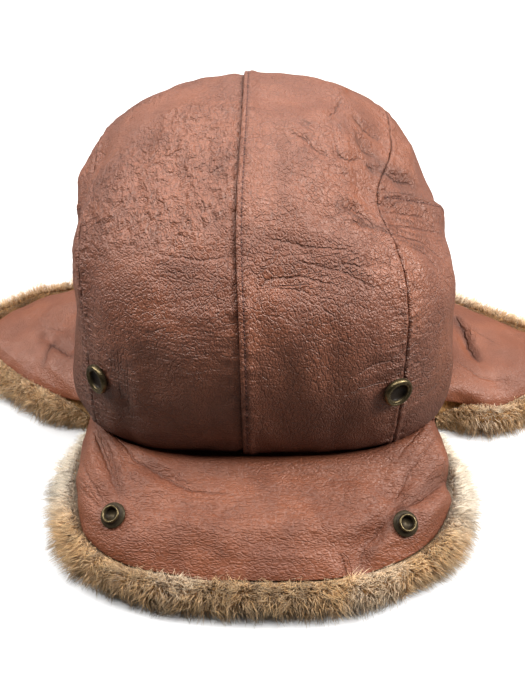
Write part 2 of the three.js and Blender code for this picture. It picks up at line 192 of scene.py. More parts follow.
# Creases of the crown: the line they follow, reach, depth, and how far their lips stand up.
CROWN_CREASES = (
    (((32, -62, 137), (38, -60, 135), (42, -60, 132), (46, -62, 128)), 2.4, 3.6, 0.4),
    (((38, -62, 134), (41, -64, 131), (47, -64, 127)), 2.0, 2.8, 0.4),
    (((36, -66, 133), (42, -67, 129)), 2.2, 1.6, 0.4),
    (((28, -21, 152), (34, -1, 151), (37, 6, 152)), 2.6, 1.4, 0.5),
    (((41, -21, 147), (45, -23, 142), (51, -21, 137)), 3.4, 2.6, 0.4),
    (((40, -7, 149), (46, -9, 144), (55, -5, 138)), 3.0, 2.0, 0.4),
    (((45, -31, 139), (49, -32, 135)), 2.4, 1.6, 0.4),
    (((31, -32, 150), (32, -40, 147), (35, -39, 144), (42, -31, 141)), 2.2, 1.5, 0.5),
    (((14, -25, 154), (19, -27, 153), (23, -30, 152)), 2.2, 1.0, 0.5),
    (((10, -31, 153), (17, -34, 152), (24, -41, 150), (29, -42, 148)), 2.2, 1.2, 0.5),
    (((51, -29, 134), (61, -27, 129), (70, -20, 122)), 3.4, 3.2, 0.4),
    (((51, -51, 128), (63, -45, 122), (82, -26, 106)), 2.4, 1.0, 0.5),
    (((49, -61, 127), (62, -53, 121), (80, -37, 107)), 2.2, 1.3, 0.5),
    (((48, -65, 126), (57, -62, 122), (70, -55, 113), (79, -53, 104)), 2.2, 1.3, 0.5),
    (((58, -66, 120), (70, -61, 112), (76, -63, 104)), 2.4, 1.1, 0.5),
    (((27, -82, 124), (39, -82, 121), (53, -76, 119)), 3.0, 0.9, 0.5),
    (((0, -76, 131), (15, -79, 129), (33, -78, 126), (48, -78, 120)), 3.0, 0.8, 0.5),
    (((-3, -89, 119), (15, -87, 120), (35, -89, 115)), 3.0, 0.8, 0.5),
    (((-61, -92, 86), (-61, -94, 70), (-61, -95, 52)), 3.0, 1.9, 0.5),
    (((-68, -87, 84), (-65, -91, 78), (-63, -94, 70)), 2.4, 1.2, 0.5),
    (((-57, -96, 82), (-57, -97, 68), (-60, -96, 52)), 3.0, 1.3, 0.5),
    (((34, -103, 70), (42, -102, 74), (54, -98, 74)), 2.8, 1.0, 0.5),
    (((38, -103, 80), (46, -100, 84), (56, -96, 83)), 2.6, 0.8, 0.5),
    (((66, -92, 58), (74, -86, 55), (80, -81, 55)), 3.0, 1.1, 0.5),
    (((86, -69, 67), (87, -70, 55), (84, -76, 46)), 4.0, -1.6, 0.2),
    (((-42, -78, 124), (-25, -82, 124), (-11, -82, 126)), 3.4, 0.7, 0.5),
    (((-46, -83, 118), (-29, -87, 118), (-12, -88, 119)), 3.6, 0.8, 0.5),
    (((-40, -89, 112), (-23, -93, 113), (-10, -93, 115)), 3.6, 0.7, 0.5),
    (((-3, -90, 118), (11, -91, 117), (27, -92, 112)), 3.0, 0.7, 0.5),
    (((14, -83, 125), (31, -85, 121), (48, -87, 113)), 3.2, 0.9, 0.5),
    (((-42, -33, 147), (-36, -48, 143), (-35, -59, 138)), 5.0, 0.9, 0.5),
    (((-25, -24, 152), (-21, -48, 146), (-19, -73, 133)), 5.0, 0.9, 0.5),
    (((-51, -12, 146), (-51, -46, 140), (-53, -70, 128)), 6.0, 0.9, 0.5),
    (((4, 4, 156), (5, -41, 151), (3, -68, 138)), 4.4, 1.1, 0.5),
    (((18, 6, 154), (20, -41, 151), (16, -66, 138)), 4.0, 1.0, 0.5),
    (((26, -17, 153), (28, -43, 148), (31, -62, 139)), 4.0, 0.9, 0.5),
    (((-46, -95, 100), (-46, -101, 75), (-45, -98, 38)), 7.0, 0.9, 0.4),
    (((-19, -98, 102), (-18, -105, 74), (-20, -97, 34)), 6.0, 0.7, 0.4),
    (((8, -99, 103), (9, -105, 74), (14, -98, 34)), 7.0, 0.8, 0.4),
    (((24, -96, 106), (28, -104, 84), (34, -101, 42)), 6.0, 0.8, 0.4),
    (((-73, -46, 126), (-73, -68, 114), (-72, -82, 90)), 5.0, 1.0, 0.4),
    (((40, 22, 150), (57, 14, 142), (70, 4, 130)), 13.0, 4.5, 0.0),
    (((74, -36, 114), (84, -16, 105), (92, 4, 94)), 10.0, -3.2, 0.0),
    (((-82, -34, 112), (-90, -14, 106), (-92, 8, 100)), 10.0, 3.4, 0.0),
)
# Hollows of the crown with painted shade: the line they follow, reach, and how dark the painted shade is.
CROWN_SHADED_HOLLOWS = (
    ((32, -62, 137), (47, -63, 127), 3.0, 0.6),
    ((42, -22, 145), (52, -22, 136), 4.4, 0.55),
    ((41, -8, 149), (53, -5, 139), 3.0, 0.3),
    ((47, -31, 137), (70, -21, 122), 5.0, 0.5),
    ((62, -32, 125), (76, -25, 114), 4.0, 0.45),
    ((54, -42, 128), (78, -28, 110), 3.4, 0.3),
    ((-62, -94, 72), (-58, -97, 44), 6.0, 0.3),
)
# Creases of the front flap and of the skirt, in plan.
FRONT_CREASES = (
    (((-84, -82), (-76, -99), (-67, -119), (-63, -129)), 2.2, 1.5, 0.5),
    (((-80, -84), (-70, -104), (-64, -124)), 2.0, 1.2, 0.5),
    (((-77, -79), (-59, -107), (-45, -116), (-32, -123), (-12, -125)), 2.8, 1.7, 0.6),
    (((-79, -82), (-66, -91), (-53, -100), (-38, -104)), 4.0, 1.0, 0.4),
    (((-87, -100), (-78, -116), (-70, -129)), 2.2, 1.0, 0.5),
    (((-87, -112), (-79, -122), (-71, -131)), 2.0, 0.7, 0.5),
    (((92, -104), (84, -113), (71, -125), (62, -130), (52, -138), (45, -145), (41, -156)), 3.0, 4.2, 0.5),
    (((34, -150), (35, -153), (38, -160)), 3.0, 1.5, 0.4),
    (((88, -86), (68, -111), (58, -128)), 3.0, 1.1, 0.5),
    (((80, -85), (62, -106)), 3.0, 0.9, 0.5),
    (((-64, -110), (-28, -116), (2, -117)), 3.8, 0.5, 0.4),
    (((-8, -111), (26, -116), (56, -117)), 3.8, 0.55, 0.4),
    (((-50, -126), (-14, -133), (18, -135)), 4.0, 0.6, 0.4),
    (((6, -126), (34, -132), (58, -128)), 3.8, 0.5, 0.4),
    (((-52, -145), (-23, -152), (6, -153)), 5.0, 1.0, 0.3),
    (((-4, -146), (25, -151), (44, -147)), 4.0, 0.9, 0.3),
)
# Hollows of the flaps with painted shade, in plan: the line they follow, reach, and how dark the painted
# shade is.
FRONT_SHADED_HOLLOWS = (
    ((92, -104), (62, -130), 3.0, 0.5),
    ((62, -130), (42, -154), 2.6, 0.45),
    ((-80, -82), (-65, -122), 4.0, 0.35),
    ((-76, -80), (-46, -115), 3.4, 0.3),
)
SKIRT_SHADED_HOLLOWS = (
    ((111, 2), (117, -31), 1.8, 0.9),
    ((-103, -30), (-117, -17), 2.2, 0.5),
    ((-117, -17), (-119, -32), 2.0, 0.5),
)
SKIRT_CREASES = (
    (((111, 4), (113, -9), (114, -20), (117, -33)), 2.2, 2.4, 0.2),
    (((114, -5), (117, -7), (132, -20)), 2.4, 0.5, 0.2),
    (((102, -32), (115, -44), (132, -42)), 2.4, 0.5, 0.2),
    (((-102, -31), (-117, -17), (-119, -32)), 2.2, 0.9, 0.2),
    (((-110, -8), (-114, -7), (-128, -2)), 2.4, 0.5, 0.2),
    (((140, -8), (150, -22), (156, -36)), 6.0, 0.4, 0.2),
    (((-134, 6), (-142, -8), (-140, -22)), 6.0, 0.4, 0.2),
)
# The two flaps' shapes: sections, heights across, folds, creases and hollows with painted shade, how strong
# their ripples are, how closely these lie, how strong the lines along creases are, and how pale and how light
# the fur is;
# on the ear and neck flaps their paler and lighter fur is painted light.
FRONT = {
    "sections": FRONT_SECTIONS,
    "heights": np.array((19.6, 19.5, 26.4, 28.8, 28.2, 25.6, 20.6, 13)),
    "folds": FRONT_FOLDS,
    "creases": FRONT_CREASES,
    "hollows": FRONT_SHADED_HOLLOWS,
    "ripple": 0.5,
    "ripple_stretch": (0.55, 1, 1),
    "line": 0.6,
    "pale": 0.08,
    "light": 0.0,
}
SKIRT = {
    "sections": SKIRT_SECTIONS,
    "heights": np.array((19.6, 19.5, 21.4, 22.2, 21, 18, 14.2, 10)),
    "folds": SKIRT_FOLDS,
    "creases": SKIRT_CREASES,
    "hollows": SKIRT_SHADED_HOLLOWS,
    "ripple": 0.22,
    "ripple_stretch": (1, 1, 1),
    "line": 1.0,
    # The ear and neck flaps' fur is paler and lighter as painted light, where the hat shades it.
    "pale": 0.18,
    "light": 0.4,
}
# Each flap: its shape, its first and last row, the columns and rows of its leather, and how many short and
# long hairs its fur has.
FLAPS = {
    "front": (FRONT, 0, 12, 200, 60, 30500, 14000),
    "ear_right": (SKIRT, 0, 12, 104, 46, 12000, 6200),
    "neck": (SKIRT, 12, 22, 90, 26, 9000, 4500),
    "ear_left": (SKIRT, 22, 33, 100, 46, 12000, 6200),
}


def smoothstep(x, low, high):
    t = np.clip((x - low) / (high - low), 0, 1)
    return t * t * (3 - 2 * t)


def unit(vectors):
    return vectors / np.maximum(np.linalg.norm(vectors, axis=-1, keepdims=True), 1e-9)


def along(values, share):
    """Values of a table's column on a smooth curve through its rows; share runs from 0 to 1."""
    last = len(values) - 1
    at = np.clip(share, 0, 1) * last
    i = np.minimum(at.astype(int), last - 1)
    t = at - i
    a, b, c, d = (values[np.clip(i + k, 0, last)] for k in (-1, 0, 1, 2))
    return (2 * b + (c - a) * t + (2 * a - 5 * b + 4 * c - d) * t**2 + (3 * b - a - 3 * c + d) * t**3) / 2


def to_line(points, start, end):
    """Distance of points to a straight line between two points, and the share along it."""
    start, end = np.array(start, float), np.array(end, float)
    here = points[:, : len(start)]
    span = end - start
    share = np.clip((here - start) @ span / (span @ span), 0, 1)
    return np.linalg.norm(here - start - share[:, None] * span, axis=1), share


def distance(points, place):
    return np.linalg.norm(points - np.array(place, float), axis=1)


def bump_at(s, centre, width):
    """A smooth bump of height 1 where s is at the centre."""
    return np.exp(-(((s - centre) / width) ** 2))


def fold_depth(folds, points):
    """How deep folds are at points, or how dark hollows are, from rows of start, end, reach and depth."""
    return sum(
        deep * bump_at(to_line(points, start, end)[0], 0, reach) for start, end, reach, deep in folds
    )


def crease_depth(creases, points, outward):
    """Depth of creases, with the signed distance to the nearest one and how strongly it marks the leather."""
    depth, mark_at = np.zeros(len(points)), np.zeros(len(points))
    nearest = np.full(len(points), 1e9)
    for line, reach, deep, lip in creases:
        near, side, at = (np.full(len(points), value) for value in (1e9, 1.0, 0.0))
        for k in range(len(line) - 1):
            start, end = (np.array((*place, 0.0)[:3], float) for place in line[k : k + 2])
            far, share = to_line(points, line[k], line[k + 1])
            closer = far < near
            away = (points - start) * (1, 1, len(line[k]) > 2)
            turn = np.sum(np.cross(end - start, away) * outward, axis=1)
            near = np.where(closer, far, near)
            side = np.where(closer, np.sign(turn), side)
            at = np.where(closer, (k + share) / (len(line) - 1), at)
        fade = np.sqrt(np.clip(4 * at * (1 - at), 0, 1))
        valley = deep * (SHARP_DEPTH if reach < SHARP_REACH else 1.0)
        lips = lip * np.exp(-((near / reach - 2.0) ** 2) / 0.7)
        depth += fade * valley * (bump_at(near, 0, reach) - lips)
        closest = near < np.abs(nearest)
        nearest = np.where(closest, near * side, nearest)
        strong = fade * np.clip(deep / 1.6, 0, 1) * (1 - smoothstep(near, 2.2, 4.6)) * (reach < SHARP_REACH)
        mark_at = np.where(closest, strong, mark_at)
    return depth, np.clip(nearest, -CREASE_FAR, CREASE_FAR), mark_at


def ripples(points, wavelength, seed, waves=12):
    """A smooth random field about as strong as 1, from plain waves in random directions."""
    chance = np.random.default_rng(seed)
    total = np.zeros(len(points))
    for _ in range(waves):
        direction = unit(chance.normal(size=3))
        size = wavelength * chance.uniform(0.7, 1.5)
        total += np.sin(points @ direction * 2 * math.pi / size + chance.uniform(0, 2 * math.pi))
    return total / math.sqrt(waves / 2)


def clear_of_rim(points):
    """0 at the crown's plain rim and 1 above it."""
    return smoothstep(points[:, 2], RIM_HEIGHT, RIM_HEIGHT + PLAIN_RIM)


def crown_skin(bearing, share):
    """The crown's outer skin at bearings (0 is +X) and shares of the way from rim to top."""
    value = {name: along(column, share) for name, column in CROWN_SECTIONS.items()}
    c, s = np.cos(bearing), np.sin(bearing)
    side = np.maximum(np.where(c > 0, value["right"], value["left"]), 1e-6)
    reach = np.maximum(np.where(s > 0, value["back"], value["front"]), 1e-6)
    square = value["square_back"] + (value["square_front"] - value["square_back"]) * smoothstep(-s, -0.6, 0.6)
    radius = ((np.abs(c) / side) ** square + (np.abs(s) / reach) ** square) ** (-1 / square)
    points = np.stack((radius * c, CROWN_CENTRE_Y + radius * s, value["z"]), axis=-1)
    outward = unit(points - CROWN_CORE)
    return points - (clear_of_rim(points) * fold_depth(CROWN_FOLDS, points))[:, None] * outward


def flap_skin(shape, row, w):
    """The top of a flap's leather, at rows of its table and shares of the way out."""
    sections, heights = shape["sections"], shape["heights"]
    last_row = len(sections["x"]) - 1
    share = row / last_row
    bearing = np.radians(along(sections["bearing"], share))
    root = crown_skin(bearing, np.zeros_like(bearing))
    root[:, 0] -= ROOT_INSET * np.cos(bearing)
    root[:, 1] -= ROOT_INSET * np.sin(bearing)
    end = np.stack((along(sections["x"], share), along(sections["y"], share), root[:, 2]), axis=-1)
    land = FLAP_ROWS[1]
    land_share = ROOT_LAND / np.linalg.norm(root - end, axis=1)
    out = np.where(w < land, w / land * land_share, land_share + (1 - land_share) * (w - land) / (1 - land))
    points = root + (end - root) * out[:, None]
    i = np.clip(np.searchsorted(FLAP_ROWS, w - 1e-9), 1, len(FLAP_ROWS) - 1)
    part = (w - FLAP_ROWS[i - 1]) / (FLAP_ROWS[i] - FLAP_ROWS[i - 1])
    height = along(heights, (i - 1 + part) / (len(heights) - 1))
    full = smoothstep(np.minimum(row, last_row - row), 0, TAPER_ROWS)
    points[:, 2] = heights[0] + full * (height - heights[0]) - (1 - full) * END_DROOP * w
    points[:, 2] -= smoothstep(w, 0.05, 0.2) * fold_depth(shape["folds"], points)
    if shape is FRONT:
        ends = bump_at(np.minimum(row, last_row - row), 0, 1.3)
        points[:, 2] += END_RISE * ends * (1 - smoothstep(w, 0.25, 0.8))
        points[:, 2] += RIDGE_RISE * full * bump_at(w, 0.2, 0.1)
    return points


# The step, in rows and in shares of the way out, over which a flap's directions are measured.
SMALL_STEP = 0.01


def flap_normal(shape, row, w):
    """The unit normal of a flap's top, pointing up."""
    w = np.clip(w, 0.02, 0.98)
    across = flap_skin(shape, row + SMALL_STEP, w) - flap_skin(shape, row - SMALL_STEP, w)
    out = flap_skin(shape, row, w + SMALL_STEP) - flap_skin(shape, row, w - SMALL_STEP)
    normal = unit(np.cross(across, out))
    return normal * np.where(normal[:, 2] < 0, -1, 1)[:, None]


def flap_span(shape, first, last):
    """The first and last row of a flap's piece, with its small gaps."""
    last_row = len(shape["sections"]["x"]) - 1
    start = first + (END_ROWS if first == 0 else JOIN_ROWS)
    return start, last - (END_ROWS if last == last_row else JOIN_ROWS)


# Meshes and modelling

# Points nearer than this, in metres, are merged.
MERGE_REACH = 0.00001
# The step that turns all faces of a closed piece outwards, and the faces round a snap.
FACES_OUT = (bpy.ops.mesh.normals_make_consistent, {"inside": False})
SNAP_FACES = 64


def to_row(points):
    """Points of the hat's frame, in millimetres, in the row's frame, in metres."""
    return (np.asarray(points) + HAT_ORIGIN) * MM


def vectors(items, name):
    """A vector that each of a mesh's items has, such as its place, as an array."""
    flat = np.empty(len(items) * 3, np.float32)
    items.foreach_get(name, flat)
    return flat.reshape(-1, 3).astype(float)


def read(piece):
    """A piece's points in the hat's frame, in millimetres."""
    return vectors(piece.data.vertices, "co") / MM - HAT_ORIGIN


def normals_of(piece):
    return vectors(piece.data.vertex_normals, "vector")


def write(piece, points):
    piece.data.vertices.foreach_set("co", to_row(points).astype(np.float32).ravel())
    piece.data.update()


def mark(piece, name, values):
    """A value for each point, which the materials read."""
    attribute = piece.data.attributes.new(name, "FLOAT", "POINT")
    attribute.data.foreach_set("value", np.asarray(values, np.float32))


def only(piece):
    """Makes a piece the one selected and active object."""
    bpy.ops.object.select_all(action="DESELECT")
    piece.select_set(True)
    bpy.context.view_layer.objects.active = piece


def grid(name, columns, rows, place):
    """A grid whose points are placed by a function of two shares, each from 0 to 1."""
    bpy.ops.object.select_all(action="DESELECT")
    bpy.ops.mesh.primitive_grid_add(x_subdivisions=columns, y_subdivisions=rows, size=2, location=(0, 0, 0))
    piece = bpy.context.object
    piece.name = piece.data.name = name
    share = (vectors(piece.data.vertices, "co") + 1) / 2
    write(piece, place(share[:, 0], share[:, 1]))
    return piece


def linked(name, data):
    """A new object in the scene."""
    made = bpy.data.objects.new(name, data)
    bpy.context.scene.collection.objects.link(made)
    return made


def mesh_piece(name, points, faces, edges=()):
    """A piece from an array of points in metres, and lists of faces and edges."""
    mesh = bpy.data.meshes.new(name)
    mesh.from_pydata(points.tolist(), edges, faces)
    return linked(name, mesh)


def edited(piece, *steps):
    """Runs mesh operators, each given with its settings, on the whole of a piece."""
    only(piece)
    bpy.ops.object.mode_set(mode="EDIT")
    for operator, settings in steps:
        bpy.ops.mesh.select_all(action="SELECT")
        operator(**settings)
    bpy.ops.object.mode_set(mode="OBJECT")
    return piece


def flip(piece):
    edited(piece, (bpy.ops.mesh.flip_normals, {}))


def cut(piece, plane, offsets, clear=False):
    """Adds a line of edges at each offset from a plane, or with clear removes what lies behind it."""
    point, normal = plane
    settings = {"plane_no": normal, "clear_inner": clear, "threshold": 0.000001}
    places = [to_row(np.array(point) + normal * offset) for offset in offsets]
    edited(piece, *((bpy.ops.mesh.bisect, {"plane_co": at, **settings}) for at in places))


def copy_of(piece, name):
    only(piece)
    bpy.ops.object.duplicate()
    made = bpy.context.object
    made.name = made.data.name = name
    return made


def modify(piece, kind, **settings):
    """Adds a modifier and applies it."""
    only(piece)
    modifier = piece.modifiers.new(kind.title(), kind)
    for name, value in settings.items():
        setattr(modifier, name, value)
    bpy.ops.object.modifier_apply(modifier=modifier.name)


def finished(piece, material, slot, *nodes):
    """Smooth shading, finish, body and the solids that the piece stands for."""
    only(piece)
    bpy.ops.object.shade_smooth()
    piece.data.materials.clear()
    piece.data.materials.append(material)
    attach(piece, "root")
    if nodes:
        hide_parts(*nodes)


# Materials

# The near black of the studs' dark flanges and of the painted shade in the snaps' hollows.
BRASS_DARK_AND_SHADE = (0.02, 0.014, 0.01, 1)
# The painted shade in the holes where the thread goes into the leather, which the side seams' thread is also
# darkened towards.
THREAD_HOLE_SHADE = (0.012, 0.005, 0.004, 1)
# The near black that the leather's painted shade darkens towards.
LEATHER_PAINTED_SHADE = (0.04, 0.011, 0.006, 1)
# How much of the dark leather's red, green and blue is left in its grooves, where shade is painted.
GROOVE_SHADE_SHARES = (0.4, 0.32, 0.3)
# The tint of the leather's gloss, which is a little warm.
GLOSS_TINT = (1.0, 0.9, 0.83, 1.0)
# How bright the table is for light that bounces off it, so that the hat's low parts stay dark.
TABLE_BOUNCE = (0.15, 0.15, 0.15, 1)
# The leathers: the name, how bright it is, how strong its pebbles and its net of cracks are, how closely they
# lie across and upwards, roughness and gloss.
LEATHERS = {
    "panel": ("Panel leather", 1.0, 1.0, 1.0, 1, 0.7, 0.47, 0.92),
    "front": ("Front flap leather", 0.88, 0.9, 0.5, 0.5, 1, 0.52, 0.72),
    "skirt": ("Ear flap leather", 0.88, 0.5, 0.35, 1, 1, 0.5, 0.62),
}
# The inputs of the leather's grain.
GRAIN_NAME = "Leather grain"
GRAIN_INPUTS = ("Pebble", "Net", "Across", "Up", "Upright", "Level", "Crease", "Crease side")


def connect(tree, made, inputs):
    """Gives a node's inputs their values or their links."""
    for socket, value in inputs.items():
        if isinstance(value, bpy.types.NodeSocket):
            tree.links.new(value, made.inputs[socket])
        else:
            made.inputs[socket].default_value = value


def node(tree, kind, inputs=None, **settings):
    """A shader node with its settings and its inputs."""
    made = tree.nodes.new("ShaderNode" + kind)
    for name, value in settings.items():
        setattr(made, name, value)
    connect(tree, made, inputs or {})
    return made


def calc(operation, tree, *values):
    return node(tree, "Math", dict(enumerate(values)), operation=operation).outputs[0]


plus, less, times = (partial(calc, operation) for operation in ("ADD", "SUBTRACT", "MULTIPLY"))


def vector_calc(operation, tree, first, second):
    return node(tree, "VectorMath", {0: first, 1: second}, operation=operation).outputs[0]


def spread(tree, value, low, high, to_low=0.0, to_high=1.0):
    """A value taken smoothly from one range to another."""
    inputs = {"Value": value, "From Min": low, "From Max": high, "To Min": to_low, "To Max": to_high}
    return node(tree, "MapRange", inputs, interpolation_type="SMOOTHSTEP").outputs["Result"]


def mixed(tree, share, first, second):
    """A mix of two colours; the node's inputs 6 and 7 are its colours, and output 2 is the result."""
    return node(tree, "Mix", {0: share, 6: first, 7: second}, data_type="RGBA").outputs[2]


def opaque(colour, share=1.0):
    """A colour, made darker where the share is below 1, with its alpha."""
    return (*(share * c for c in colour), 1)


def millimetres(tree, stretch=(1, 1, 1)):
    """Object coordinates in millimetres, stretched."""
    place = node(tree, "TexCoord").outputs["Object"]
    return vector_calc("MULTIPLY", tree, place, tuple(1000 * s for s in stretch))


def noise(tree, place, scale, detail, output="Fac", roughness=0.5):
    inputs = {"Vector": place, "Scale": scale, "Detail": detail, "Roughness": roughness}
    return node(tree, "TexNoise", inputs).outputs[output]


def warped(tree, place, scale, amount):
    """Coordinates pushed about by noise."""
    middle = vector_calc("SUBTRACT", tree, noise(tree, place, scale, 2.0, "Color"), (0.5, 0.5, 0.5))
    return vector_calc("ADD", tree, place, vector_calc("MULTIPLY", tree, middle, (amount,) * 3))


def cell_edges(tree, place, scale, *spreading):
    """The distance to the edges of random cells, spread to a new range."""
    inputs = {"Vector": place, "Scale": scale, "Randomness": 1.0}
    distance = node(tree, "TexVoronoi", inputs, feature="DISTANCE_TO_EDGE").outputs["Distance"]
    return spread(tree, distance, *spreading)


def bumped(tree, height, distance=MM, strength=1.0):
    """The surface's normal, bumped by a height of which 1 is the distance in metres."""
    inputs = {"Height": height, "Distance": distance, "Strength": strength}
    return node(tree, "Bump", inputs).outputs["Normal"]


def attribute(tree, name):
    return node(tree, "Attribute", attribute_type="GEOMETRY", attribute_name=name).outputs["Fac"]


def stretched_wrinkles(tree, stretch, strength):
    """Long soft wrinkles with a fine line along each, in millimetres of height."""
    place = warped(tree, millimetres(tree, stretch), 0.12, 3.0)
    middle = less(tree, noise(tree, place, 0.42, 2.0), 0.5)
    line = spread(tree, calc("ABSOLUTE", tree, middle), 0.0, 0.05, 1.0, 0.0)
    both = less(tree, times(tree, middle, 3.2), times(tree, line, 0.2))
    return times(tree, both, strength), times(tree, line, strength)


def leather_grain():
    """Pebbled grain, a net of fine cracks, wrinkles and creases, with heights in millimetres."""
    if GRAIN_NAME in bpy.data.node_groups:
        return bpy.data.node_groups[GRAIN_NAME]
    tree = bpy.data.node_groups.new(GRAIN_NAME, "ShaderNodeTree")
    for way, titles in (("INPUT", GRAIN_INPUTS), ("OUTPUT", ("Height", "Groove shade", "Mottle"))):
        for title in titles:
            tree.interface.new_socket(title, in_out=way, socket_type="NodeSocketFloat")
    given = tree.nodes.new("NodeGroupInput").outputs
    place = millimetres(tree)
    stretch = node(tree, "CombineXYZ", {"X": given["Across"], "Y": 1.0, "Z": given["Up"]}).outputs[0]
    drawn = vector_calc("MULTIPLY", tree, place, stretch)
    near = warped(tree, drawn, 0.3, 1.8)
    patch = noise(tree, place, 0.035, 2.0)
    # The net of fine cracks, and a wider one over it
    net = cell_edges(tree, near, 0.34, 0.0, 0.11, 1.0, 0.0)
    net = times(tree, net, spread(tree, patch, 0.38, 0.58, 0.6, 1.0))
    wide = cell_edges(tree, warped(tree, drawn, 0.12, 6.0), 0.13, 0.0, 0.05, 1.0, 0.0)
    wide = times(tree, wide, spread(tree, patch, 0.42, 0.62))
    net = times(tree, plus(tree, net, wide), given["Net"])
    # The wrinkles, and the fine line along each crease, which wobbles
    upright, upright_line = stretched_wrinkles(tree, (0.8, 0.5, 0.2), given["Upright"])
    level, level_line = stretched_wrinkles(tree, (0.3, 0.5, 1.15), given["Level"])
    wobble = times(tree, less(tree, noise(tree, place, 0.3, 2.0), 0.5), 2.2)
    crease = calc("ABSOLUTE", tree, plus(tree, given["Crease side"], wobble))
    crease = times(tree, spread(tree, crease, 0.05, 1.0, 1.0, 0.0), given["Crease"])
    # The height of it all, from the pebbles up
    cells = cell_edges(tree, near, 0.8, 0.0, 0.3)
    height = plus(tree, times(tree, cells, 0.2), times(tree, noise(tree, near, 0.4, 3.0), 0.5))
    height = times(tree, height, given["Pebble"])
    for lift in (upright, level):
        height = plus(tree, height, lift)
    for dent, deep in ((net, 0.2), (crease, 0.9)):
        height = less(tree, height, times(tree, dent, deep))
    height = plus(tree, height, times(tree, noise(tree, place, 1.5, 3.0), 0.1))
    # How dark the grooves are: painted shade in the gaps between pebbles, the cracks, the wrinkles' lines and
    # the creases
    rough = times(tree, less(tree, 1.0, cells), times(tree, given["Pebble"], 0.3))
    groove_shade = plus(tree, times(tree, net, 0.42), rough)
    groove_shade = plus(tree, groove_shade, times(tree, plus(tree, upright_line, level_line), 0.3))
    groove_shade = calc("MINIMUM", tree, plus(tree, groove_shade, crease), 1.0)
    mottle = noise(tree, warped(tree, place, 0.07, 14.0), 0.04, 5.0)
    connect(tree, tree.nodes.new("NodeGroupOutput"), {"Height": height, "Groove shade": groove_shade, "Mottle": mottle})
    return tree


def material_of(name):
    """A new material, its node tree and its Principled shader."""
    material = bpy.data.materials.new(name)
    material.use_nodes = True
    tree = material.node_tree
    return material, tree, tree.nodes["Principled BSDF"]


def leather_material(colours, kind):
    name, bright, *strengths, roughness, gloss = LEATHERS[kind]
    dark, light = (tuple(bright * c for c in tone) for tone in (colours.leather_dark, colours.leather_light))
    material, tree, shader = material_of(name)
    # The painted shade marked on the leather: on the lower crown, in hollows, beside seams and at the flaps'
    # roots.
    painted_shade = attribute(tree, "shade")
    marks = {title: attribute(tree, title.lower().replace(" ", "_")) for title in GRAIN_INPUTS[4:]}
    grain = node(tree, "Group", dict(zip(GRAIN_INPUTS, strengths)) | marks, node_tree=leather_grain())
    mottle = grain.outputs["Mottle"]
    colour = mixed(tree, spread(tree, mottle, 0.35, 0.65), opaque(dark), opaque(light))
    groove_shade_colour = opaque(c * share for c, share in zip(dark, GROOVE_SHADE_SHARES))
    # Painted shade in the grain's grooves.
    colour = mixed(tree, times(tree, grain.outputs["Groove shade"], 0.6), colour, groove_shade_colour)
    rough = spread(tree, mottle, 0.3, 0.7, roughness + 0.06, roughness - 0.06)
    looks = {
        "Base Color": mixed(tree, times(tree, painted_shade, 0.7), colour, LEATHER_PAINTED_SHADE),
        "Roughness": plus(tree, rough, times(tree, painted_shade, 0.14)),
        "Normal": bumped(tree, grain.outputs["Height"]),
        "Specular IOR Level": gloss,
        "Specular Tint": GLOSS_TINT,
    }
    connect(tree, shader, looks)
    return material


def fur_material(colours):
    """Hairs that grow lighter from root to tip, with paler and darker ones."""
    material, tree, shader = material_of("Fur")
    t, tone, paler = (attribute(tree, title) for title in ("along", "tone", "pale"))
    colour = mixed(tree, spread(tree, t, 0.0, 0.55), opaque(colours.fur_root), opaque(colours.fur_middle))
    colour = mixed(tree, spread(tree, t, 0.4, 1.0), colour, opaque(colours.fur_tip))
    paler = times(tree, paler, spread(tree, t, 0.0, 0.5, 0.35, 1.0))
    colour = mixed(tree, paler, colour, opaque(colours.fur_pale))
    dark = node(tree, "HueSaturation", {"Color": colour, "Value": 0.42, "Saturation": 0.9}).outputs[0]
    looks = {"Base Color": mixed(tree, tone, dark, colour), "Roughness": 0.75, "Sheen Weight": 0.1}
    connect(tree, shader, looks)
    return material


def under_fur_material(colours):
    """The dense short fur under the hairs, streaked across the pad."""
    material, tree, shader = material_of("Under fur")
    place = warped(tree, millimetres(tree, (1, 1, 0.6)), 0.12, 8.0)
    streak = noise(tree, place, 0.7, 6.0, roughness=0.7)
    lighter = spread(tree, streak, 0.35, 0.65)
    colour = mixed(tree, lighter, opaque(colours.fur_root), opaque(colours.fur_middle))
    connect(tree, shader, {"Base Color": colour, "Roughness": 0.95, "Normal": bumped(tree, streak)})
    return material


def brass_material(colours):
    """Antique brass: bright where it is rubbed, with painted shade in its holes and grooves, and dark flanges
    on the studs.
    """
    material, tree, shader = material_of("Antique brass")
    place = millimetres(tree)
    spots = noise(tree, place, 0.9, 5.0)
    dark_and_shade = attribute(tree, "dark_and_shade")
    shade = mixed(tree, spread(tree, spots, 0.4, 0.7), opaque(colours.brass), opaque(colours.brass, 0.55))
    looks = {
        "Base Color": mixed(tree, dark_and_shade, shade, BRASS_DARK_AND_SHADE),
        "Roughness": spread(tree, spots, 0.3, 0.7, 0.25, 0.45),
        "Normal": bumped(tree, noise(tree, place, 5.0, 3.0), 0.00006, 0.6),
        "Metallic": less(tree, 1.0, dark_and_shade),
        "Specular IOR Level": 0.1,
    }
    connect(tree, shader, looks)
    return material


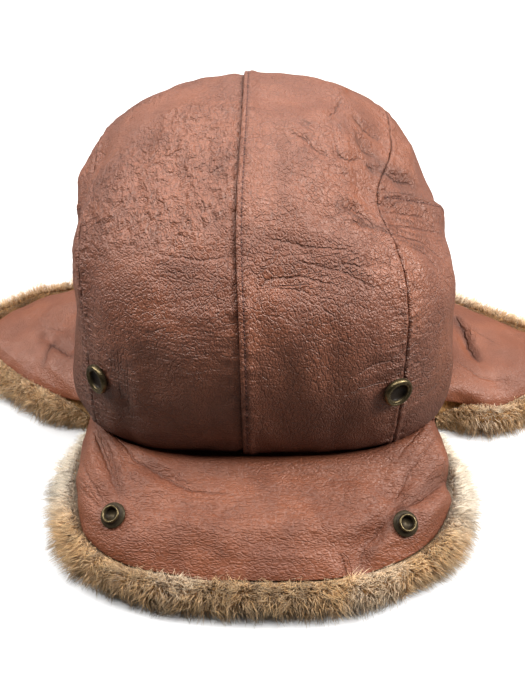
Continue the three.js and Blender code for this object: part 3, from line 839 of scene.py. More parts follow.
def thread_material(colours):
    """Waxed thread, twisted, with painted shade in the holes where it goes into the leather."""
    material, tree, shader = material_of("Thread")
    place = millimetres(tree)
    twist = node(tree, "TexWave", {"Vector": place, "Scale": 1.2, "Distortion": 1.5}).outputs["Fac"]
    spots = spread(tree, noise(tree, place, 0.5, 2.0), 0.3, 0.7)
    shade = mixed(tree, spots, opaque(colours.thread), opaque(colours.thread, 0.6))
    shade = mixed(tree, attribute(tree, "dark_and_shade"), shade, THREAD_HOLE_SHADE)
    connect(tree, shader, {"Base Color": shade, "Roughness": 0.6, "Normal": bumped(tree, twist, 0.0001, 0.6)})
    return material


def floor_material(colours):
    material, tree, shader = material_of("Table")
    spots = noise(tree, millimetres(tree), 0.004, 3.0)
    shade = mixed(tree, spots, opaque(colours.table), opaque(colours.table, 0.985))
    seen = node(tree, "LightPath").outputs["Is Camera Ray"]
    connect(tree, shader, {"Base Color": mixed(tree, seen, TABLE_BOUNCE, shade), "Roughness": 0.9})
    return material


# The crown


def side_plane(x, facing):
    return (x, 0, 0), np.array((facing, 0.0, 0.0))


def back_plane(sign):
    """The plane of the seam from the side seam down to the back of an ear flap, facing backwards."""
    high, low = np.array((50 * sign, -46, 131.0)), np.array((85 * sign, -12, 102.0))
    across = unit(np.cross(high - CROWN_CORE, low - CROWN_CORE))
    return tuple(CROWN_CORE), across * np.sign(across[1])


def turned(plane):
    return plane[0], -plane[1]


# How a seam lifts the leather beside it, and how dark the painted shade beside it is, by the distance from
# the seam.
SEAM_LIFTS = {
    "over": lambda s: 1 - smoothstep(s, 3.6, 8) - 0.35 * bump_at(s, 2.3, 0.6) - 0.6 * bump_at(s, 0, 0.5),
    "under": lambda s: -0.9 * bump_at(s, 0, 2.2),
    "plain": lambda s: 0.5 * bump_at(s, 1.3, 1.1) - 0.35 * bump_at(s, 0, 0.5),
    "ridge": lambda s: 0.8 * bump_at(s, 0.9, 1.2) - 0.9 * bump_at(s, 12, 6),
    "tucked": lambda s: -0.7 * bump_at(s, 0, 1.3) - 1.5 * bump_at(s, 6, 5),
}
SEAM_PAINTED_SHADES = {
    "over": lambda s: 0.2 * bump_at(s, 0, 0.4) + 0.3 * bump_at(s, 2.3, 0.5),
    "under": lambda s: 0.7 * bump_at(s, 0, 0.9),
    "plain": lambda s: 0.15 * bump_at(s, 0, 0.5),
    "ridge": lambda s: 0.1 * bump_at(s, 3.4, 0.8),
    "tucked": lambda s: 0.5 * bump_at(s, 0, 1.1),
}
SEAM_LINES = (0.7, 1.2, 1.75, 2.3, 2.85, 3.6)
STITCH_OFFSET = 2.3
T_SEAM = ("ridge", "tucked")
# How strong the lifts of these two are on the left side, next to 1 on the right.
LEFT_T_STRENGTH = 0.4
# About where the right side seam and the seam down to the back of the ear flap meet.
SEAM_JOINT = (66, -50, 116)


def crown_panels():
    """Each panel's name with its planes, facing into the panel, and what its seam does there."""
    for side, sign in (("right", 1), ("left", -1)):
        middle = side_plane(MIDDLE_SEAM_X, sign)
        outer = side_plane(MIDDLE_SEAM_X + sign * TOP_PANEL_WIDTH, sign)
        back = back_plane(sign)
        lap = "over" if sign > 0 else "under"
        yield f"crown_top_{side}", ((middle, lap), (turned(outer), "plain"))
        yield f"ear_panel_{side}", ((outer, "plain"), (turned(back), "ridge"))
        yield f"back_panel_{side}", ((outer, "plain"), (back, "tucked"))


def pulled(points):
    made = points.copy()
    for at, reach, shift in SEAM_PULLS:
        made[:, 0] += shift * bump_at(distance(points, at), 0, reach)
    return made


def crown_relief(points):
    """Lift of the crown's small folds and creases, and the nearest crease with its strength."""
    deep, side, strong = crease_depth(CROWN_CREASES, pulled(points), unit(points - CROWN_CORE))
    soft = 0.35 * ripples(points, 34, 3) + 0.16 * ripples(points * (1, 1, 0.6), 12, 4)
    top = bump_at(distance(points[:, :2], (0, CROWN_CENTRE_Y)), 0, 12)
    keep = clear_of_rim(points) * clear_of_snaps(pulled(points))
    return keep * (soft - deep - top), side, keep * strong


# How far from a snap's middle the leather begins to move, and where it moves freely.
SNAP_CLEARANCE = (7.5, 12)


def clear_of_snaps(points):
    """0 under a snap, where the leather is pressed flat, and 1 away from it."""
    places = [read(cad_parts[name]).mean(axis=0) for name in SNAPS]
    nearest = np.min([distance(points, place) for place in places], axis=0)
    return smoothstep(nearest, *SNAP_CLEARANCE)


def crown_wrinkles(points):
    """How strong the upright and the level wrinkles are at points of the crown."""
    high = smoothstep(points[:, 2], 108, 128)
    left = smoothstep(-points[:, 0], 0, 20)
    upright = high * (0.4 + 1.1 * left) * smoothstep(ripples(points, 60, 6), -1.2, 0.6)
    near_side = bump_at(np.abs(points[:, 0] - MIDDLE_SEAM_X), TOP_PANEL_WIDTH, 9)
    joint = bump_at(distance(points, SEAM_JOINT), 0, 26)
    low_left = left * smoothstep(-points[:, 2], -110, -80)
    patchy = smoothstep(ripples(points, 50, 8), -0.8, 0.8)
    level = 0.45 * near_side + 0.3 * joint + (0.15 + 0.35 * low_left) * patchy
    return upright, np.clip(level, 0, 1)


def crown_shell(sizes):
    """The crown's skin in one sheet, finer at the front."""

    def place(a, b):
        turn = 2 * a - 1
        bearing = math.pi * turn - 0.35 * np.sin(math.pi * turn) - math.pi / 2
        points = crown_skin(bearing, b)
        lift = crown_relief(points)[0] - 0.7 * bump_at(b, 0, 0.012)
        return points + lift[:, None] * unit(points - CROWN_CORE)

    shell = grid("crown_shell", sizes.crown_columns, sizes.crown_rows, place)
    return edited(shell, (bpy.ops.mesh.remove_doubles, {"threshold": MERGE_REACH}))


def seam_path(points, lifted, normals, plane, offset):
    """Where the points of a panel on a line beside its seam end up, in order, and their normals."""
    point, normal = plane
    on = np.abs((points - point) @ normal - offset) < 0.01
    up = unit(np.array((0, 0, 1.0)) - normal * normal[2])
    side = np.cross(normal, up)
    rays = points[on] - CROWN_CORE
    order = np.argsort(np.arctan2(rays @ side, rays @ up))
    return lifted[on][order], normals[on][order]


def mark_leather(piece, shade, side, strong, upright, level):
    """The values that the leather's material reads."""
    # shade is the painted shade that darkens the leather's colour.
    mark(piece, "shade", np.clip(shade, 0, 1))
    mark(piece, "crease", strong)
    mark(piece, "crease_side", side)
    mark(piece, "upright", upright)
    mark(piece, "level", level)


def finish_panel(piece, seams, material):
    """Lifts a panel beside its seams, draws it along with them and gives it its wall."""
    points = read(piece)
    outward = unit(points - CROWN_CORE)
    lift = np.zeros(len(points))
    # Darker towards the rim: partly a darker leather, partly painted shade of the lower crown; more painted
    # shade in the crevice over the flaps.
    shade = 0.76 * (1 - smoothstep(points[:, 2], 34, 116)) + 0.12 * (1 - smoothstep(points[:, 2], 22, 46))
    shade += fold_depth(CROWN_SHADED_HOLLOWS, pulled(points))
    _, side, strong = crown_relief(points)
    pucker = ripples(points, 6, 9)
    (start, facing), _ = seams[0]
    from_first = (points - start) @ facing
    t_strength = 1 if start[0] > 0 else LEFT_T_STRENGTH
    for (point, normal), way in seams:
        s = (points - point) @ normal
        joined = t_strength * smoothstep(from_first, 0, 5) if way in T_SEAM else 1
        lift += joined * SEAM_LIFTS[way](s) + 0.22 * pucker * bump_at(s, 3, 4.5)
        shade += SEAM_PAINTED_SHADES[way](s)
    write(piece, pulled(points + lift[:, None] * outward))
    upright, level = crown_wrinkles(points)
    mark_leather(piece, shade, side, strong, upright, level)
    if np.sum(normals_of(piece) * unit(read(piece) - CROWN_CORE * (1, 1, 0))) < 0:
        flip(piece)
    paths = {}
    lifted, normals = read(piece), normals_of(piece)
    for plane, way in seams:
        offset = {"over": STITCH_OFFSET, "ridge": STITCH_OFFSET}.get(way, SEAM_GAP / 2)
        paths[way] = seam_path(points, lifted, normals, plane, offset)
    modify(piece, "SOLIDIFY", thickness=LEATHER_WALL * MM, offset=-1)
    finished(piece, material, "leather", piece["panel"])
    return paths


def make_crown(sizes, material):
    """The crown's six panels, and the lines that their stitches follow."""
    shell = crown_shell(sizes)
    for x in (MIDDLE_SEAM_X, MIDDLE_SEAM_X + TOP_PANEL_WIDTH, MIDDLE_SEAM_X - TOP_PANEL_WIDTH):
        cut(shell, side_plane(x, 1), [sign * s for s in SEAM_LINES for sign in (-1, 1)])
    paths = {}
    for name, seams in crown_panels():
        piece = copy_of(shell, name + "_leather")
        piece["panel"] = name
        for plane, way in seams:
            if way in T_SEAM:
                cut(piece, plane, SEAM_LINES)
            cut(piece, plane, (SEAM_GAP / 2,), clear=True)
        for way, path in finish_panel(piece, seams, material).items():
            paths[name, way] = path
    bpy.data.objects.remove(shell)
    return paths


# The flaps


def flap_relief(shape, points, w, normal):
    """Lift of a flap's small folds and creases, and the nearest crease with its strength."""
    deep, side, strong = crease_depth(shape["creases"], points, normal)
    stretched = points * shape["ripple_stretch"]
    soft = shape["ripple"] * ripples(stretched, 30, 21)
    soft += 0.14 * ripples(stretched, 11, 22)
    keep = smoothstep(w, 0.05, 0.2) * clear_of_snaps(points)
    edge = 0.9 * bump_at(w, 1, 0.02)
    return keep * (soft - deep) - edge, side, keep * strong * shape["line"]


# The rounding of the leather's cut edges, in metres, and how sharp an edge is that gets it.
EDGE_ROUNDING = 0.0006
BEVEL_ANGLE = math.radians(50)


def make_flap(name, material):
    shape, first, last, columns, rows = FLAPS[name][:5]
    start, stop = flap_span(shape, first, last)
    marks = []

    def place(a, b):
        row, w = start + (stop - start) * a, b
        points = flap_skin(shape, row, w)
        normal = flap_normal(shape, row, w)
        lift, side, strong = flap_relief(shape, points, w, normal)
        wrinkled = smoothstep(w, 0.15, 0.4) * (1 - smoothstep(w, 0.72, 0.9)) * (shape is FRONT)
        level = 0.32 * wrinkled * smoothstep(ripples(points, 50, 24), -1.0, 0.6)
        # Painted shade at the flap's root under the crown, and in its hollows.
        shade = 0.4 * bump_at(w, 0, 0.04) + fold_depth(shape["hollows"], points)
        marks.extend((shade, side, strong, np.zeros(len(w)), level))
        return points + lift[:, None] * normal

    piece = grid(f"{name}_flap_leather", columns, rows, place)
    mark_leather(piece, *marks)
    if normals_of(piece)[:, 2].sum() < 0:
        flip(piece)
    modify(piece, "SOLIDIFY", thickness=LEATHER_WALL * MM, offset=-1)
    modify(piece, "BEVEL", width=EDGE_ROUNDING, segments=2, limit_method="ANGLE", angle_limit=BEVEL_ANGLE)
    finished(piece, material, "leather", f"{name}_flap")


# The fur

# The under fur's section outside the leather's edge: how far out and how high.
UNDER_FUR = table("out z", (-1.5, 9.4), (1.0, 11.6), (4.6, 12), (7.6, 8.4), (7.8, 3.8), (5.6, 0.6), (2, 0.2))
# The pad's depth under the leather's top, and its rows of points there as shares of the way out.
PAD_DEPTH = LEATHER_WALL + REST_GAP + 0.9
PAD_SHARES = (*np.linspace(0, 0.9, 10), 0.95, 0.985)
# The two kinds of hair: the column of their count in FLAPS, hairs in a tuft, share of the hair length, least
# and greatest width, how much tufts draw together, and where each point of a hair lies from root to tip.
HAIRS = {
    "short": (5, 60, 0.45, (0.32, 0.54), 0.6, (0.15, 0.15, 0.15, 0.8)),
    "long": (6, 28, 0.85, (0.22, 0.4), 1.0, (0, 0, 0, 0.5, 0.5, 0.5, 1.0)),
}
LEAST_TUFTS = 20
# Tufts of the front flap that lie over the leather's edge: where along x, and how wide.
OVER_TUFTS = ((-50, 5), (-36, 3), (-14, 3), (38, 4))
UP = np.array((0, 0, 1.0))


def roll_points(shape, row, v):
    """Points of the under fur's roll at rows and shares of its section, the way out, and how full it is."""
    last_row = len(shape["sections"]["x"]) - 1
    edge = np.ones_like(row)
    end = flap_skin(shape, row, edge)
    tangent = flap_skin(shape, row + SMALL_STEP, edge) - flap_skin(shape, row - SMALL_STEP, edge)
    outward = unit(np.stack((tangent[:, 1], -tangent[:, 0], np.zeros(len(row))), axis=-1))
    grown = smoothstep(np.minimum(row, last_row - row), 0, TAPER_ROWS)
    low = end[:, 2] / shape["heights"][-1]
    out = REST_GAP + (0.25 + 0.75 * grown) * along(UNDER_FUR["out"], v)
    high = along(UNDER_FUR["z"], v) * np.clip(0.35 + 0.65 * grown * low, 0, 1.2)
    return np.stack((end[:, 0], end[:, 1], high), axis=-1) + out[:, None] * outward, outward, grown


def make_under_fur(name, material):
    """The pad of dense fur under a flap's leather, which fills the space down to the table."""
    shape, first, last, across = FLAPS[name][:4]
    rows = np.linspace(*flap_span(shape, first, last), across)
    rings = []
    for w in PAD_SHARES:
        shares = np.full(across, w)
        under = flap_skin(shape, rows, shares) - PAD_DEPTH * flap_normal(shape, rows, shares)
        under[:, 2] = np.maximum(under[:, 2], 1.0)
        rings.append(under)
    for v in np.linspace(0, 1, 14):
        ring, outward, _ = roll_points(shape, rows, np.full(across, v))
        rings.append(ring + (0.7 * ripples(ring, 9, 31))[:, None] * outward * (1 - v))
    for share in (0.35, 0.7, 1.0):
        base = flap_skin(shape, rows, np.full(across, 0.9 * (1 - share)))
        base[:, 2] = 0.25
        rings.append(base)
    points = np.stack(rings, axis=1)
    points[:, :, 2] = np.maximum(points[:, :, 2], 0.2)
    n = len(rings)
    i, j = np.meshgrid(np.arange(across - 1), np.arange(n), indexing="ij")
    k = (j + 1) % n
    faces = np.stack((i * n + j, i * n + k, (i + 1) * n + k, (i + 1) * n + j), axis=-1).reshape(-1, 4)
    ends = [range(n), range((across - 1) * n, across * n)[::-1]]
    piece = mesh_piece(f"{name}_under_fur", to_row(points.reshape(-1, 3)), [*faces.tolist(), *ends])
    edited(piece, FACES_OUT)
    finished(piece, material, "fur", f"{name}_fur")


def strands(roots, middles, tips, widths, sides):
    """Joined tapered hairs, each closed, three-sided and pointed, and bent where they have a middle."""
    turns = np.linspace(0, 2 * math.pi, 4)[:3]
    path = unit((tips if middles is None else middles) - roots)
    sides = unit(np.cross(path, sides))
    other = np.cross(path, sides)
    centres = [(roots, 1.0)] if middles is None else [(roots, 1.0), (middles, 0.8)]
    rings = []
    for centre, share in centres:
        for turn in turns:
            offset = math.cos(turn) * sides + math.sin(turn) * other
            rings.append(centre + offset * (widths * share / 2)[:, None])
    points = np.stack((*rings, tips), axis=1).reshape(-1, 3)
    one = [(2, 1, 0)]
    last = len(rings) - 3
    if last:
        one += [(0, 1, 4), (0, 4, 3), (1, 2, 5), (1, 5, 4), (2, 0, 3), (2, 3, 5)]
    one += [(last, last + 1, last + 3), (last + 1, last + 2, last + 3), (last + 2, last, last + 3)]
    each = len(rings) + 1
    return points, (np.arange(len(roots))[:, None, None] * each + np.array(one)[None]).reshape(-1, 3)


def hair_roots(shape, start, stop, count, chance):
    """Random roots on the roll of fur, with the directions out of it, along it and outwards in plan."""
    row = chance.uniform(start, stop, count)
    v = np.where(chance.random(count) < 0.3, 0.3 * chance.random(count), chance.beta(1.1, 1.4, count))
    root, outward, grown = roll_points(shape, row, v)
    before, after = (roll_points(shape, row, np.clip(v + step, 0, 1))[0] for step in (-0.02, 0.02))
    tangent = np.stack((-outward[:, 1], outward[:, 0], np.zeros(count)), axis=-1)
    normal = unit(np.cross(tangent, after - before))
    normal *= np.where(np.sum(normal * outward, axis=1) + 0.4 * normal[:, 2] < 0, -1, 1)[:, None]
    return root, normal, tangent, outward, grown, v


def tuft_of(roots, tufts):
    """The nearest tuft of each root."""
    nearest = np.empty(len(roots), int)
    for i in range(0, len(roots), 2000):
        gap = roots[i : i + 2000, None] - tufts[None]
        nearest[i : i + 2000] = np.argmin((gap**2).sum(-1), axis=1)
    return nearest


def hair_tones(shape, root, v, near, tufts, side, chance):
    """How light and how pale each hair is, by patches, by tufts and by chance; the front flap's low hairs
    near the table get painted shade, and the ear and neck flaps' hairs are lightened as painted light.
    """
    count = len(root)
    patch = ripples(root, 38, 41)
    # Each flap's pale and light values shift all its hairs; on the ear and neck flaps they carry painted
    # light.
    pale = smoothstep(patch, 0.6, 1.6) * 0.35 + chance.normal(shape["pale"], 0.1, count)
    low = smoothstep(v, 0.4, 0.9)
    tone = chance.normal(0.88, 0.16, tufts)[near] + chance.normal(0, 0.15, count) + shape["light"]
    tone -= 0.25 * smoothstep(ripples(root, 11, 43), 0.3, 1.4)
    tone -= 0.35 * smoothstep(-patch, 0.3, 1.4) * (1 - 0.7 * side)
    if shape is FRONT:
        pale += 0.85 * side * smoothstep(root[:, 1] + 8 * (root[:, 0] > 0), -136, -108)
        # Painted shade on the low hairs near the table; away from the sides, the hairs towards -x are darker
        # too.
        tone -= (1 - side) * (0.4 * low + 0.36 * (1 - smoothstep(root[:, 0], 15, 40)))
    return np.clip(tone, 0, 1), np.clip(pale, 0, 0.95)


def make_hairs(name, kind, sizes, material, seed):
    """Short hairs that stand thick on the roll of fur, or longer ones above them in loose curling tufts."""
    shape, first, last = FLAPS[name][:3]
    column, in_tuft, length_share, thickness, drawn, shares = HAIRS[kind]
    count = FLAPS[name][column]
    start, stop = flap_span(shape, first, last)
    chance = np.random.default_rng(seed)
    root, normal, tangent, outward, grown, v = hair_roots(shape, start, stop, count, chance)
    tufts = max(int(count / in_tuft), LEAST_TUFTS)
    near = tuft_of(root, hair_roots(shape, start, stop, tufts, chance)[0])
    side = smoothstep(np.abs(root[:, 0]), 64, 86) if shape is FRONT else np.full(count, 0.5)
    lean = (0.75 - 0.45 * side) * (chance.normal(0, 1, tufts)[near] + chance.normal(0, 0.6, count))
    droop = chance.normal(0.1, 0.4, tufts)[near] + chance.normal(0.1, 0.25, count)
    long = sizes.hair_length / MM * length_share * chance.uniform(0.7, 1.25, count) * (0.6 + 0.4 * grown)
    if shape is FRONT:
        long *= 1 + 0.15 * side - 0.25 * bump_at(np.abs(root[:, 0]), 66, 16) * (root[:, 1] < -130)
    go = 0.6 * normal + (0.5 + 0.4 * side)[:, None] * outward + lean[:, None] * tangent - droop[:, None] * UP
    go += (0.35 * (1 - side))[:, None] * chance.normal(size=(count, 3))
    if shape is FRONT:
        over = sum(bump_at(root[:, 0], x, reach) for x, reach in OVER_TUFTS) * (v < 0.22)
        go += over[:, None] * (0.9 * UP - 1.5 * outward)
    first_go = normal + 0.3 * outward + 0.4 * lean[:, None] * tangent + 0.25 * chance.normal(size=(count, 3))
    middle = root + unit(first_go) * (0.42 * long)[:, None]
    tip = middle + unit(go) * (0.62 * long)[:, None] + chance.normal(0, 0.35, (count, 3))
    mean = np.stack([np.bincount(near, tip[:, k], tufts) for k in range(3)], axis=-1)
    mean /= np.maximum(np.bincount(near, minlength=tufts), 1)[:, None]
    tip += (mean[near] - tip) * (chance.uniform(0.05, 0.45, count) * drawn)[:, None]
    for points in (middle, tip):
        points[:, 2] = np.maximum(points[:, 2], 0.35 + 0.5 * chance.random(count))
    root -= 0.8 * normal
    root[:, 2] = np.maximum(root[:, 2], 0.3)
    widths = chance.uniform(*thickness, count)
    bend = middle if kind == "long" else None
    points, faces = strands(root, bend, tip, widths, chance.normal(size=(count, 3)))
    piece = mesh_piece(f"{name}_{kind}_hairs", to_row(points), faces.tolist())
    tone, pale = hair_tones(shape, root, v, near, tufts, side, chance)
    mark(piece, "along", np.tile(shares, count))
    mark(piece, "tone", np.repeat(tone, len(shares)))
    mark(piece, "pale", np.repeat(pale, len(shares)))
    finished(piece, material, "fur")


# The stitches


def even_places(points, normals, pitch, margin=3.0):
    """Places along a line at an even pitch, with its direction and normal there."""
    step = np.linalg.norm(np.diff(points, axis=0), axis=1)
    at = np.concatenate(((0,), np.cumsum(step)))
    wanted = np.arange(margin, at[-1] - margin, pitch)
    place, ahead, normal = (
        np.stack([np.interp(wanted + shift, at, values[:, k]) for k in range(3)], axis=-1)
        for values, shift in ((points, 0), (points, 0.6), (normals, 0))
    )
    return place, unit(ahead - place), unit(normal)


# Width and height of the thread, and length, width, height and depth of the holes between stitches.
THREAD_SIZE = (0.75, 0.6)
HOLE_SIZE = (0.8, 0.8, 0.3)
HOLE_DEPTH = 0.12
# The rows of stitches: the panel and the seam they follow, pitch, length, lift and darkness of the thread.
# Where no pitch is given they have the add-on's, and the length then is a share of it.
STITCH_ROWS = {
    "middle_seam_stitches": ("crown_top_right", "over", None, 0.68, 0.05, 0.0),
    "side_seam_stitches_right": ("crown_top_right", "plain", 3.4, 1.9, -0.5, 0.4),
    "ear_seam_stitches_right": ("ear_panel_right", "ridge", None, 0.68, 0.0, 0.0),
    "side_seam_stitches_left": ("crown_top_left", "plain", 3.4, 1.9, -0.5, 0.4),
    "ear_seam_stitches_left": ("ear_panel_left", "ridge", None, 0.68, 0.0, 0.0),
}


def stitch_shape(length, width, height):
    """One stitch, pointed and sunk at both ends, with six sides; along x, up z."""
    points = [(-length / 2, 0, -height)]
    for x, grow in ((-0.34, 0.75), (0, 1.0), (0.34, 0.75)):
        for k in range(6):
            turn = k * math.pi / 3
            y, z = grow * width / 2 * math.cos(turn), grow * height / 2 * math.sin(turn)
            points.append((x * length, y, z))
    points.append((length / 2, 0, -height))
    faces = [(0, 1 + k, 1 + (k + 1) % 6) for k in range(6)]
    for ring in (0, 1):
        for k in range(6):
            a, b = 1 + ring * 6 + k, 1 + ring * 6 + (k + 1) % 6
            faces += [(a, a + 6, b + 6), (a, b + 6, b)]
    faces += [(19, 13 + (k + 1) % 6, 13 + k) for k in range(6)]
    return np.array(points, float), np.array(faces)


def joined_stitches(name, path, pitch, length, lift, dark, material):
    """A row of stitches along a line, as one mesh; the holes between them are dark with painted shade."""
    place, ahead, normal = even_places(*path, pitch)
    side = np.cross(normal, ahead)
    parts, marks, faces, start = [], [], [], 0
    thread, hole = stitch_shape(length, *THREAD_SIZE), stitch_shape(*HOLE_SIZE)
    offsets = ((thread, 0.0, lift, dark), (hole, pitch / 2, lift - HOLE_DEPTH, 1.0))
    for (points, shape_faces), forward, up, dark_and_shade in offsets:
        centre = place + ahead * forward + normal * up
        spans = (points[None, :, k, None] * way[:, None] for k, way in enumerate((ahead, side, normal)))
        made = sum(spans, centre[:, None]).reshape(-1, 3)
        parts.append(made)
        marks.append(np.full(len(made), dark_and_shade))
        at = np.arange(len(place))[:, None, None] * len(points) + start
        faces.append((at + shape_faces[None]).reshape(-1, 3))
        start += len(made)
    piece = mesh_piece(name, to_row(np.concatenate(parts)), np.concatenate(faces).tolist())
    mark(piece, "dark_and_shade", np.concatenate(marks))
    edited(piece, FACES_OUT)
    finished(piece, material, "leather")


# The snaps

# Their sections as radius and height, and how dark each point is: painted shade in the holes and grooves,
# under the rings and where they meet the leather, and the studs' dark flanges.
SOCKET_PROFILE = (
    (0, 0, 1), (6.7, 0, 0.8), (6.95, 0.5, 0.6), (7.0, 1.2, 0.3), (6.8, 2.0, 0), (6.4, 2.5, 0), (5.9, 2.7, 0),
    (5.5, 2.5, 0.1), (5.3, 2.2, 0.5), (5.1, 2.25, 0.1), (4.8, 2.3, 0), (4.5, 2.0, 0.2), (4.3, 1.4, 0.8),
    (4.2, 0.7, 1), (0, 0.7, 1),
)
STUD_PROFILE = (
    (0, 0, 1), (5.6, 0, 0.8), (5.8, 0.3, 0.75), (5.6, 0.7, 0.7), (4.6, 0.95, 0.8), (3.7, 1.1, 0.95),
    (3.5, 1.5, 0.9), (3.7, 2.2, 0.5), (4.0, 2.7, 0.1), (3.95, 3.2, 0), (3.65, 3.5, 0), (3.25, 3.45, 0),
    (3.0, 3.1, 0.2), (2.85, 2.2, 0.8), (2.75, 1.1, 0.95), (0, 1.0, 0.55),
)


def make_snap(node_name, profile, material):
    """A turned snap fastener where its solid is: a profile spun round the solid's axis."""
    solid = vectors(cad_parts[node_name].data.vertices, "co")
    centre = solid.mean(axis=0)
    axis = np.linalg.eigh(np.cov((solid - centre).T))[1][:, 0]
    if axis @ (centre / MM - HAT_ORIGIN - CROWN_CORE * (1, 1, 0.2)) < 0:
        axis = -axis
    base = centre + axis * ((solid - centre) @ axis).min()
    outline = np.array(profile, float)
    radius, height, dark_and_shade = outline.T
    points = np.stack((radius, np.zeros(len(outline)), height), axis=-1) * MM
    piece = mesh_piece(node_name + "_brass", points, [], [(k, k + 1) for k in range(len(points) - 1)])
    whole_turn = {"angle": 2 * math.pi, "center": (0, 0, 0), "axis": (0, 0, 1)}
    spin = (bpy.ops.mesh.spin, {"steps": SNAP_FACES, "use_auto_merge": True, **whole_turn})
    edited(piece, spin, (bpy.ops.mesh.remove_doubles, {"threshold": MERGE_REACH / 2}), FACES_OUT)
    x, y, z = (vectors(piece.data.vertices, "co") / MM).T
    section = np.stack((np.hypot(x, y), z), axis=-1)
    nearest = np.argmin(((section[:, None] - outline[None, :, :2]) ** 2).sum(-1), axis=1)
    mark(piece, "dark_and_shade", dark_and_shade[nearest])
    turn = Vector((0, 0, 1)).rotation_difference(Vector(axis)).to_matrix().to_4x4()
    piece.data.transform(Matrix.Translation(Vector(base)) @ turn)
    finished(piece, material, "brass", node_name)


# The add-on


def count_of(label, about, value, least, most):
    return bpy.props.IntProperty(name=label, description=about, default=value, min=least, max=most)


def length_of(label, about, value, least, most):
    """A length, in metres."""
    return bpy.props.FloatProperty(
        name=label, description=about, default=value, min=least, max=most, subtype="DISTANCE", unit="LENGTH"
    )


def colour_of(label, about, *value):
    return bpy.props.FloatVectorProperty(
        name=label, description=about, subtype="COLOR", size=3, min=0, max=1, default=value
    )


class HatSizes(bpy.types.PropertyGroup):
    """Sizes and fineness of the hat's looks."""

    crown_columns: count_of("Crown columns", "Faces round the crown", 320, 48, 600)
    crown_rows: count_of("Crown rows", "Faces from the crown's rim to its top", 138, 24, 200)
    hair_length: length_of("Hair length", "Length of the hairs of the fur", 0.0095, 0.002, 0.02)
    stitch_pitch: length_of("Stitch pitch", "From one stitch to the next", 0.0025, 0.001, 0.01)


class HatColours(bpy.types.PropertyGroup):
    """Colours of the hat's finishes and of the table."""

    leather_dark: colour_of("Dark leather", "Leather in its darker parts", 0.21, 0.062, 0.028)
    leather_light: colour_of("Light leather", "Leather in its lighter parts", 0.29, 0.092, 0.043)
    fur_root: colour_of("Fur root", "Fur at the skin", 0.28, 0.15, 0.055)
    fur_middle: colour_of("Fur middle", "Fur half way along", 0.72, 0.41, 0.165)
    fur_tip: colour_of("Fur tip", "Tips of the hairs", 0.95, 0.64, 0.31)
    fur_pale: colour_of("Pale fur", "Pale patches of the fur", 0.92, 0.82, 0.67)
    brass: colour_of("Brass", "Rubbed antique brass", 0.16, 0.12, 0.062)
    thread: colour_of("Thread", "Waxed thread of the seams", 0.16, 0.055, 0.038)
    table: colour_of("Table", "The plain floor", 0.9, 0.9, 0.9)


# The lines that the stitches follow, by panel and seam.
STITCH_PATHS = {}


class HAT_OT_crown(bpy.types.Operator):
    """Builds the crown's six leather panels"""

    bl_idname = "hat.crown"
    bl_label = "Crown"

    def execute(self, context):
        leather = leather_material(context.scene.hat_colours, "panel")
        STITCH_PATHS.update(make_crown(context.scene.hat_sizes, leather))
        return {"FINISHED"}


class HAT_OT_flaps(bpy.types.Operator):
    """Builds the leather of the front flap, the ear flaps and the neck flap"""

    bl_idname = "hat.flaps"
    bl_label = "Flaps"

    def execute(self, context):
        front, skirt = (leather_material(context.scene.hat_colours, kind) for kind in ("front", "skirt"))
        for name in FLAPS:
            make_flap(name, front if name == "front" else skirt)
        return {"FINISHED"}


class HAT_OT_fur(bpy.types.Operator):
    """Builds the fur under each flap and the hairs round its edge"""

    bl_idname = "hat.fur"
    bl_label = "Fur"

    def execute(self, context):
        scene = context.scene
        under, hairs = under_fur_material(scene.hat_colours), fur_material(scene.hat_colours)
        for k, name in enumerate(FLAPS):
            make_under_fur(name, under)
            for kind, seed in (("short", 100), ("long", 105)):
                make_hairs(name, kind, scene.hat_sizes, hairs, seed + 10 * k)
        return {"FINISHED"}


class HAT_OT_stitches(bpy.types.Operator):
    """Builds the stitches along the crown's seams"""

    bl_idname = "hat.stitches"
    bl_label = "Stitches"

    def execute(self, context):
        if not STITCH_PATHS:
            raise RuntimeError("the crown comes before its stitches")
        thread = thread_material(context.scene.hat_colours)
        own_pitch = context.scene.hat_sizes.stitch_pitch / MM
        for name, (panel, seam, pitch, length, lift, dark) in STITCH_ROWS.items():
            if pitch is None:
                pitch, length = own_pitch, length * own_pitch
            joined_stitches(name, STITCH_PATHS[panel, seam], pitch, length, lift, dark, thread)
        return {"FINISHED"}


class HAT_OT_snaps(bpy.types.Operator):
    """Builds the two sockets on the crown and the two studs on the front flap"""

    bl_idname = "hat.snaps"
    bl_label = "Snaps"

    def execute(self, context):
        brass = brass_material(context.scene.hat_colours)
        for side in ("left", "right"):
            make_snap(f"socket_{side}", SOCKET_PROFILE, brass)
            make_snap(f"stud_{side}", STUD_PROFILE, brass)
        return {"FINISHED"}


# The camera and the lights, in metres; each light has its place, its size and its power.
CAMERA_PLACE = (-0.00603, -0.31207, 0.30534)
CAMERA_TILT = math.radians(47)
CAMERA_LENS = 39.09
LIT_PLACE = Vector((0, 0, 0.08))
SOFTBOXES = {
    "overhead": ((0.0, 0.0, 1.1), (1.5, 0.45), 13.5),
    "back": ((0.0, 1.1, 1.0), (1.8, 0.9), 13.2),
    "left": ((-1.0, 0.2, 0.8), (0.5, 0.5), 10.5),
    "right": ((1.0, -0.1, 0.8), (0.5, 0.5), 18),
}
# How bright the white surroundings are: as light on the hat, and as the camera sees them.
SKY_LIGHT, SKY_SEEN = 0.06, 1.0


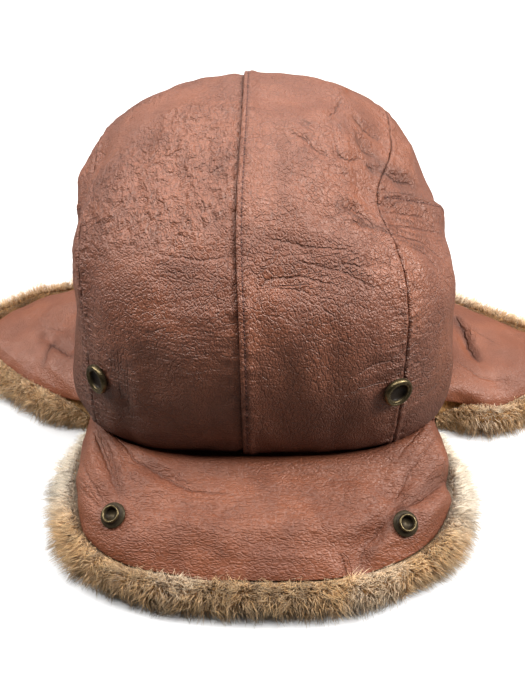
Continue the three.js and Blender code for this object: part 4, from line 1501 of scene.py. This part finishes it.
def softbox(name, place, size, power):
    """A rectangular light that faces the hat."""
    data = bpy.data.lights.new(name, "AREA")
    data.shape = "RECTANGLE"
    data.size, data.size_y = size
    data.energy = power
    light = linked(name, data)
    light.location = place
    light.rotation_euler = (LIT_PLACE - Vector(place)).to_track_quat("-Z", "Y").to_euler()


class HAT_OT_stage(bpy.types.Operator):
    """Sets up the floor, the lights and the camera"""

    bl_idname = "hat.stage"
    bl_label = "Stage"

    def execute(self, context):
        scene = context.scene
        bpy.ops.object.select_all(action="DESELECT")
        bpy.ops.mesh.primitive_plane_add(size=3, location=(0, 0, -0.0002))
        floor = context.object
        floor.name = "table_top"
        floor.data.materials.append(floor_material(scene.hat_colours))
        for name, settings in SOFTBOXES.items():
            softbox(name, *settings)
        scene.world = bpy.data.worlds.new("Studio")
        scene.world.use_nodes = True
        tree = scene.world.node_tree
        seen = node(tree, "LightPath").outputs["Is Camera Ray"]
        strength = spread(tree, seen, 0.0, 1.0, SKY_LIGHT, SKY_SEEN)
        connect(tree, tree.nodes["Background"], {"Color": (1, 1, 1, 1), "Strength": strength})
        scene.view_settings.view_transform = "Standard"
        data = bpy.data.cameras.new("camera")
        data.lens = CAMERA_LENS
        data.sensor_width = 36
        data.sensor_fit = "AUTO"
        data.clip_start = 0.01
        scene.camera = linked("camera", data)
        scene.camera.location = CAMERA_PLACE
        scene.camera.rotation_euler = (CAMERA_TILT, 0, 0)
        return {"FINISHED"}


class HAT_PT_panel(bpy.types.Panel):
    """Lists the steps that build the hat"""

    bl_label = "Bomber Hat"
    bl_idname = "HAT_PT_panel"
    bl_space_type = "VIEW_3D"
    bl_region_type = "UI"
    bl_category = "Bomber Hat"

    def draw(self, context):
        for group in (context.scene.hat_sizes, context.scene.hat_colours):
            for name in group.bl_rna.properties.keys():
                if name not in ("rna_type", "name"):
                    self.layout.prop(group, name)
        for step in STEPS:
            self.layout.operator(step.bl_idname)


STEPS = (HAT_OT_crown, HAT_OT_flaps, HAT_OT_fur, HAT_OT_stitches, HAT_OT_snaps, HAT_OT_stage)
CLASSES = (HatSizes, HatColours, *STEPS, HAT_PT_panel)


def register():
    for one in CLASSES:
        bpy.utils.register_class(one)
    bpy.types.Scene.hat_sizes = bpy.props.PointerProperty(type=HatSizes)
    bpy.types.Scene.hat_colours = bpy.props.PointerProperty(type=HatColours)


def unregister():
    del bpy.types.Scene.hat_colours
    del bpy.types.Scene.hat_sizes
    for one in reversed(CLASSES):
        bpy.utils.unregister_class(one)


def main():
    register()
    bpy.ops.hat.crown()
    bpy.ops.hat.flaps()
    bpy.ops.hat.fur()
    bpy.ops.hat.stitches()
    bpy.ops.hat.snaps()
    bpy.ops.hat.stage()


if __name__ == "__main__":
    main()
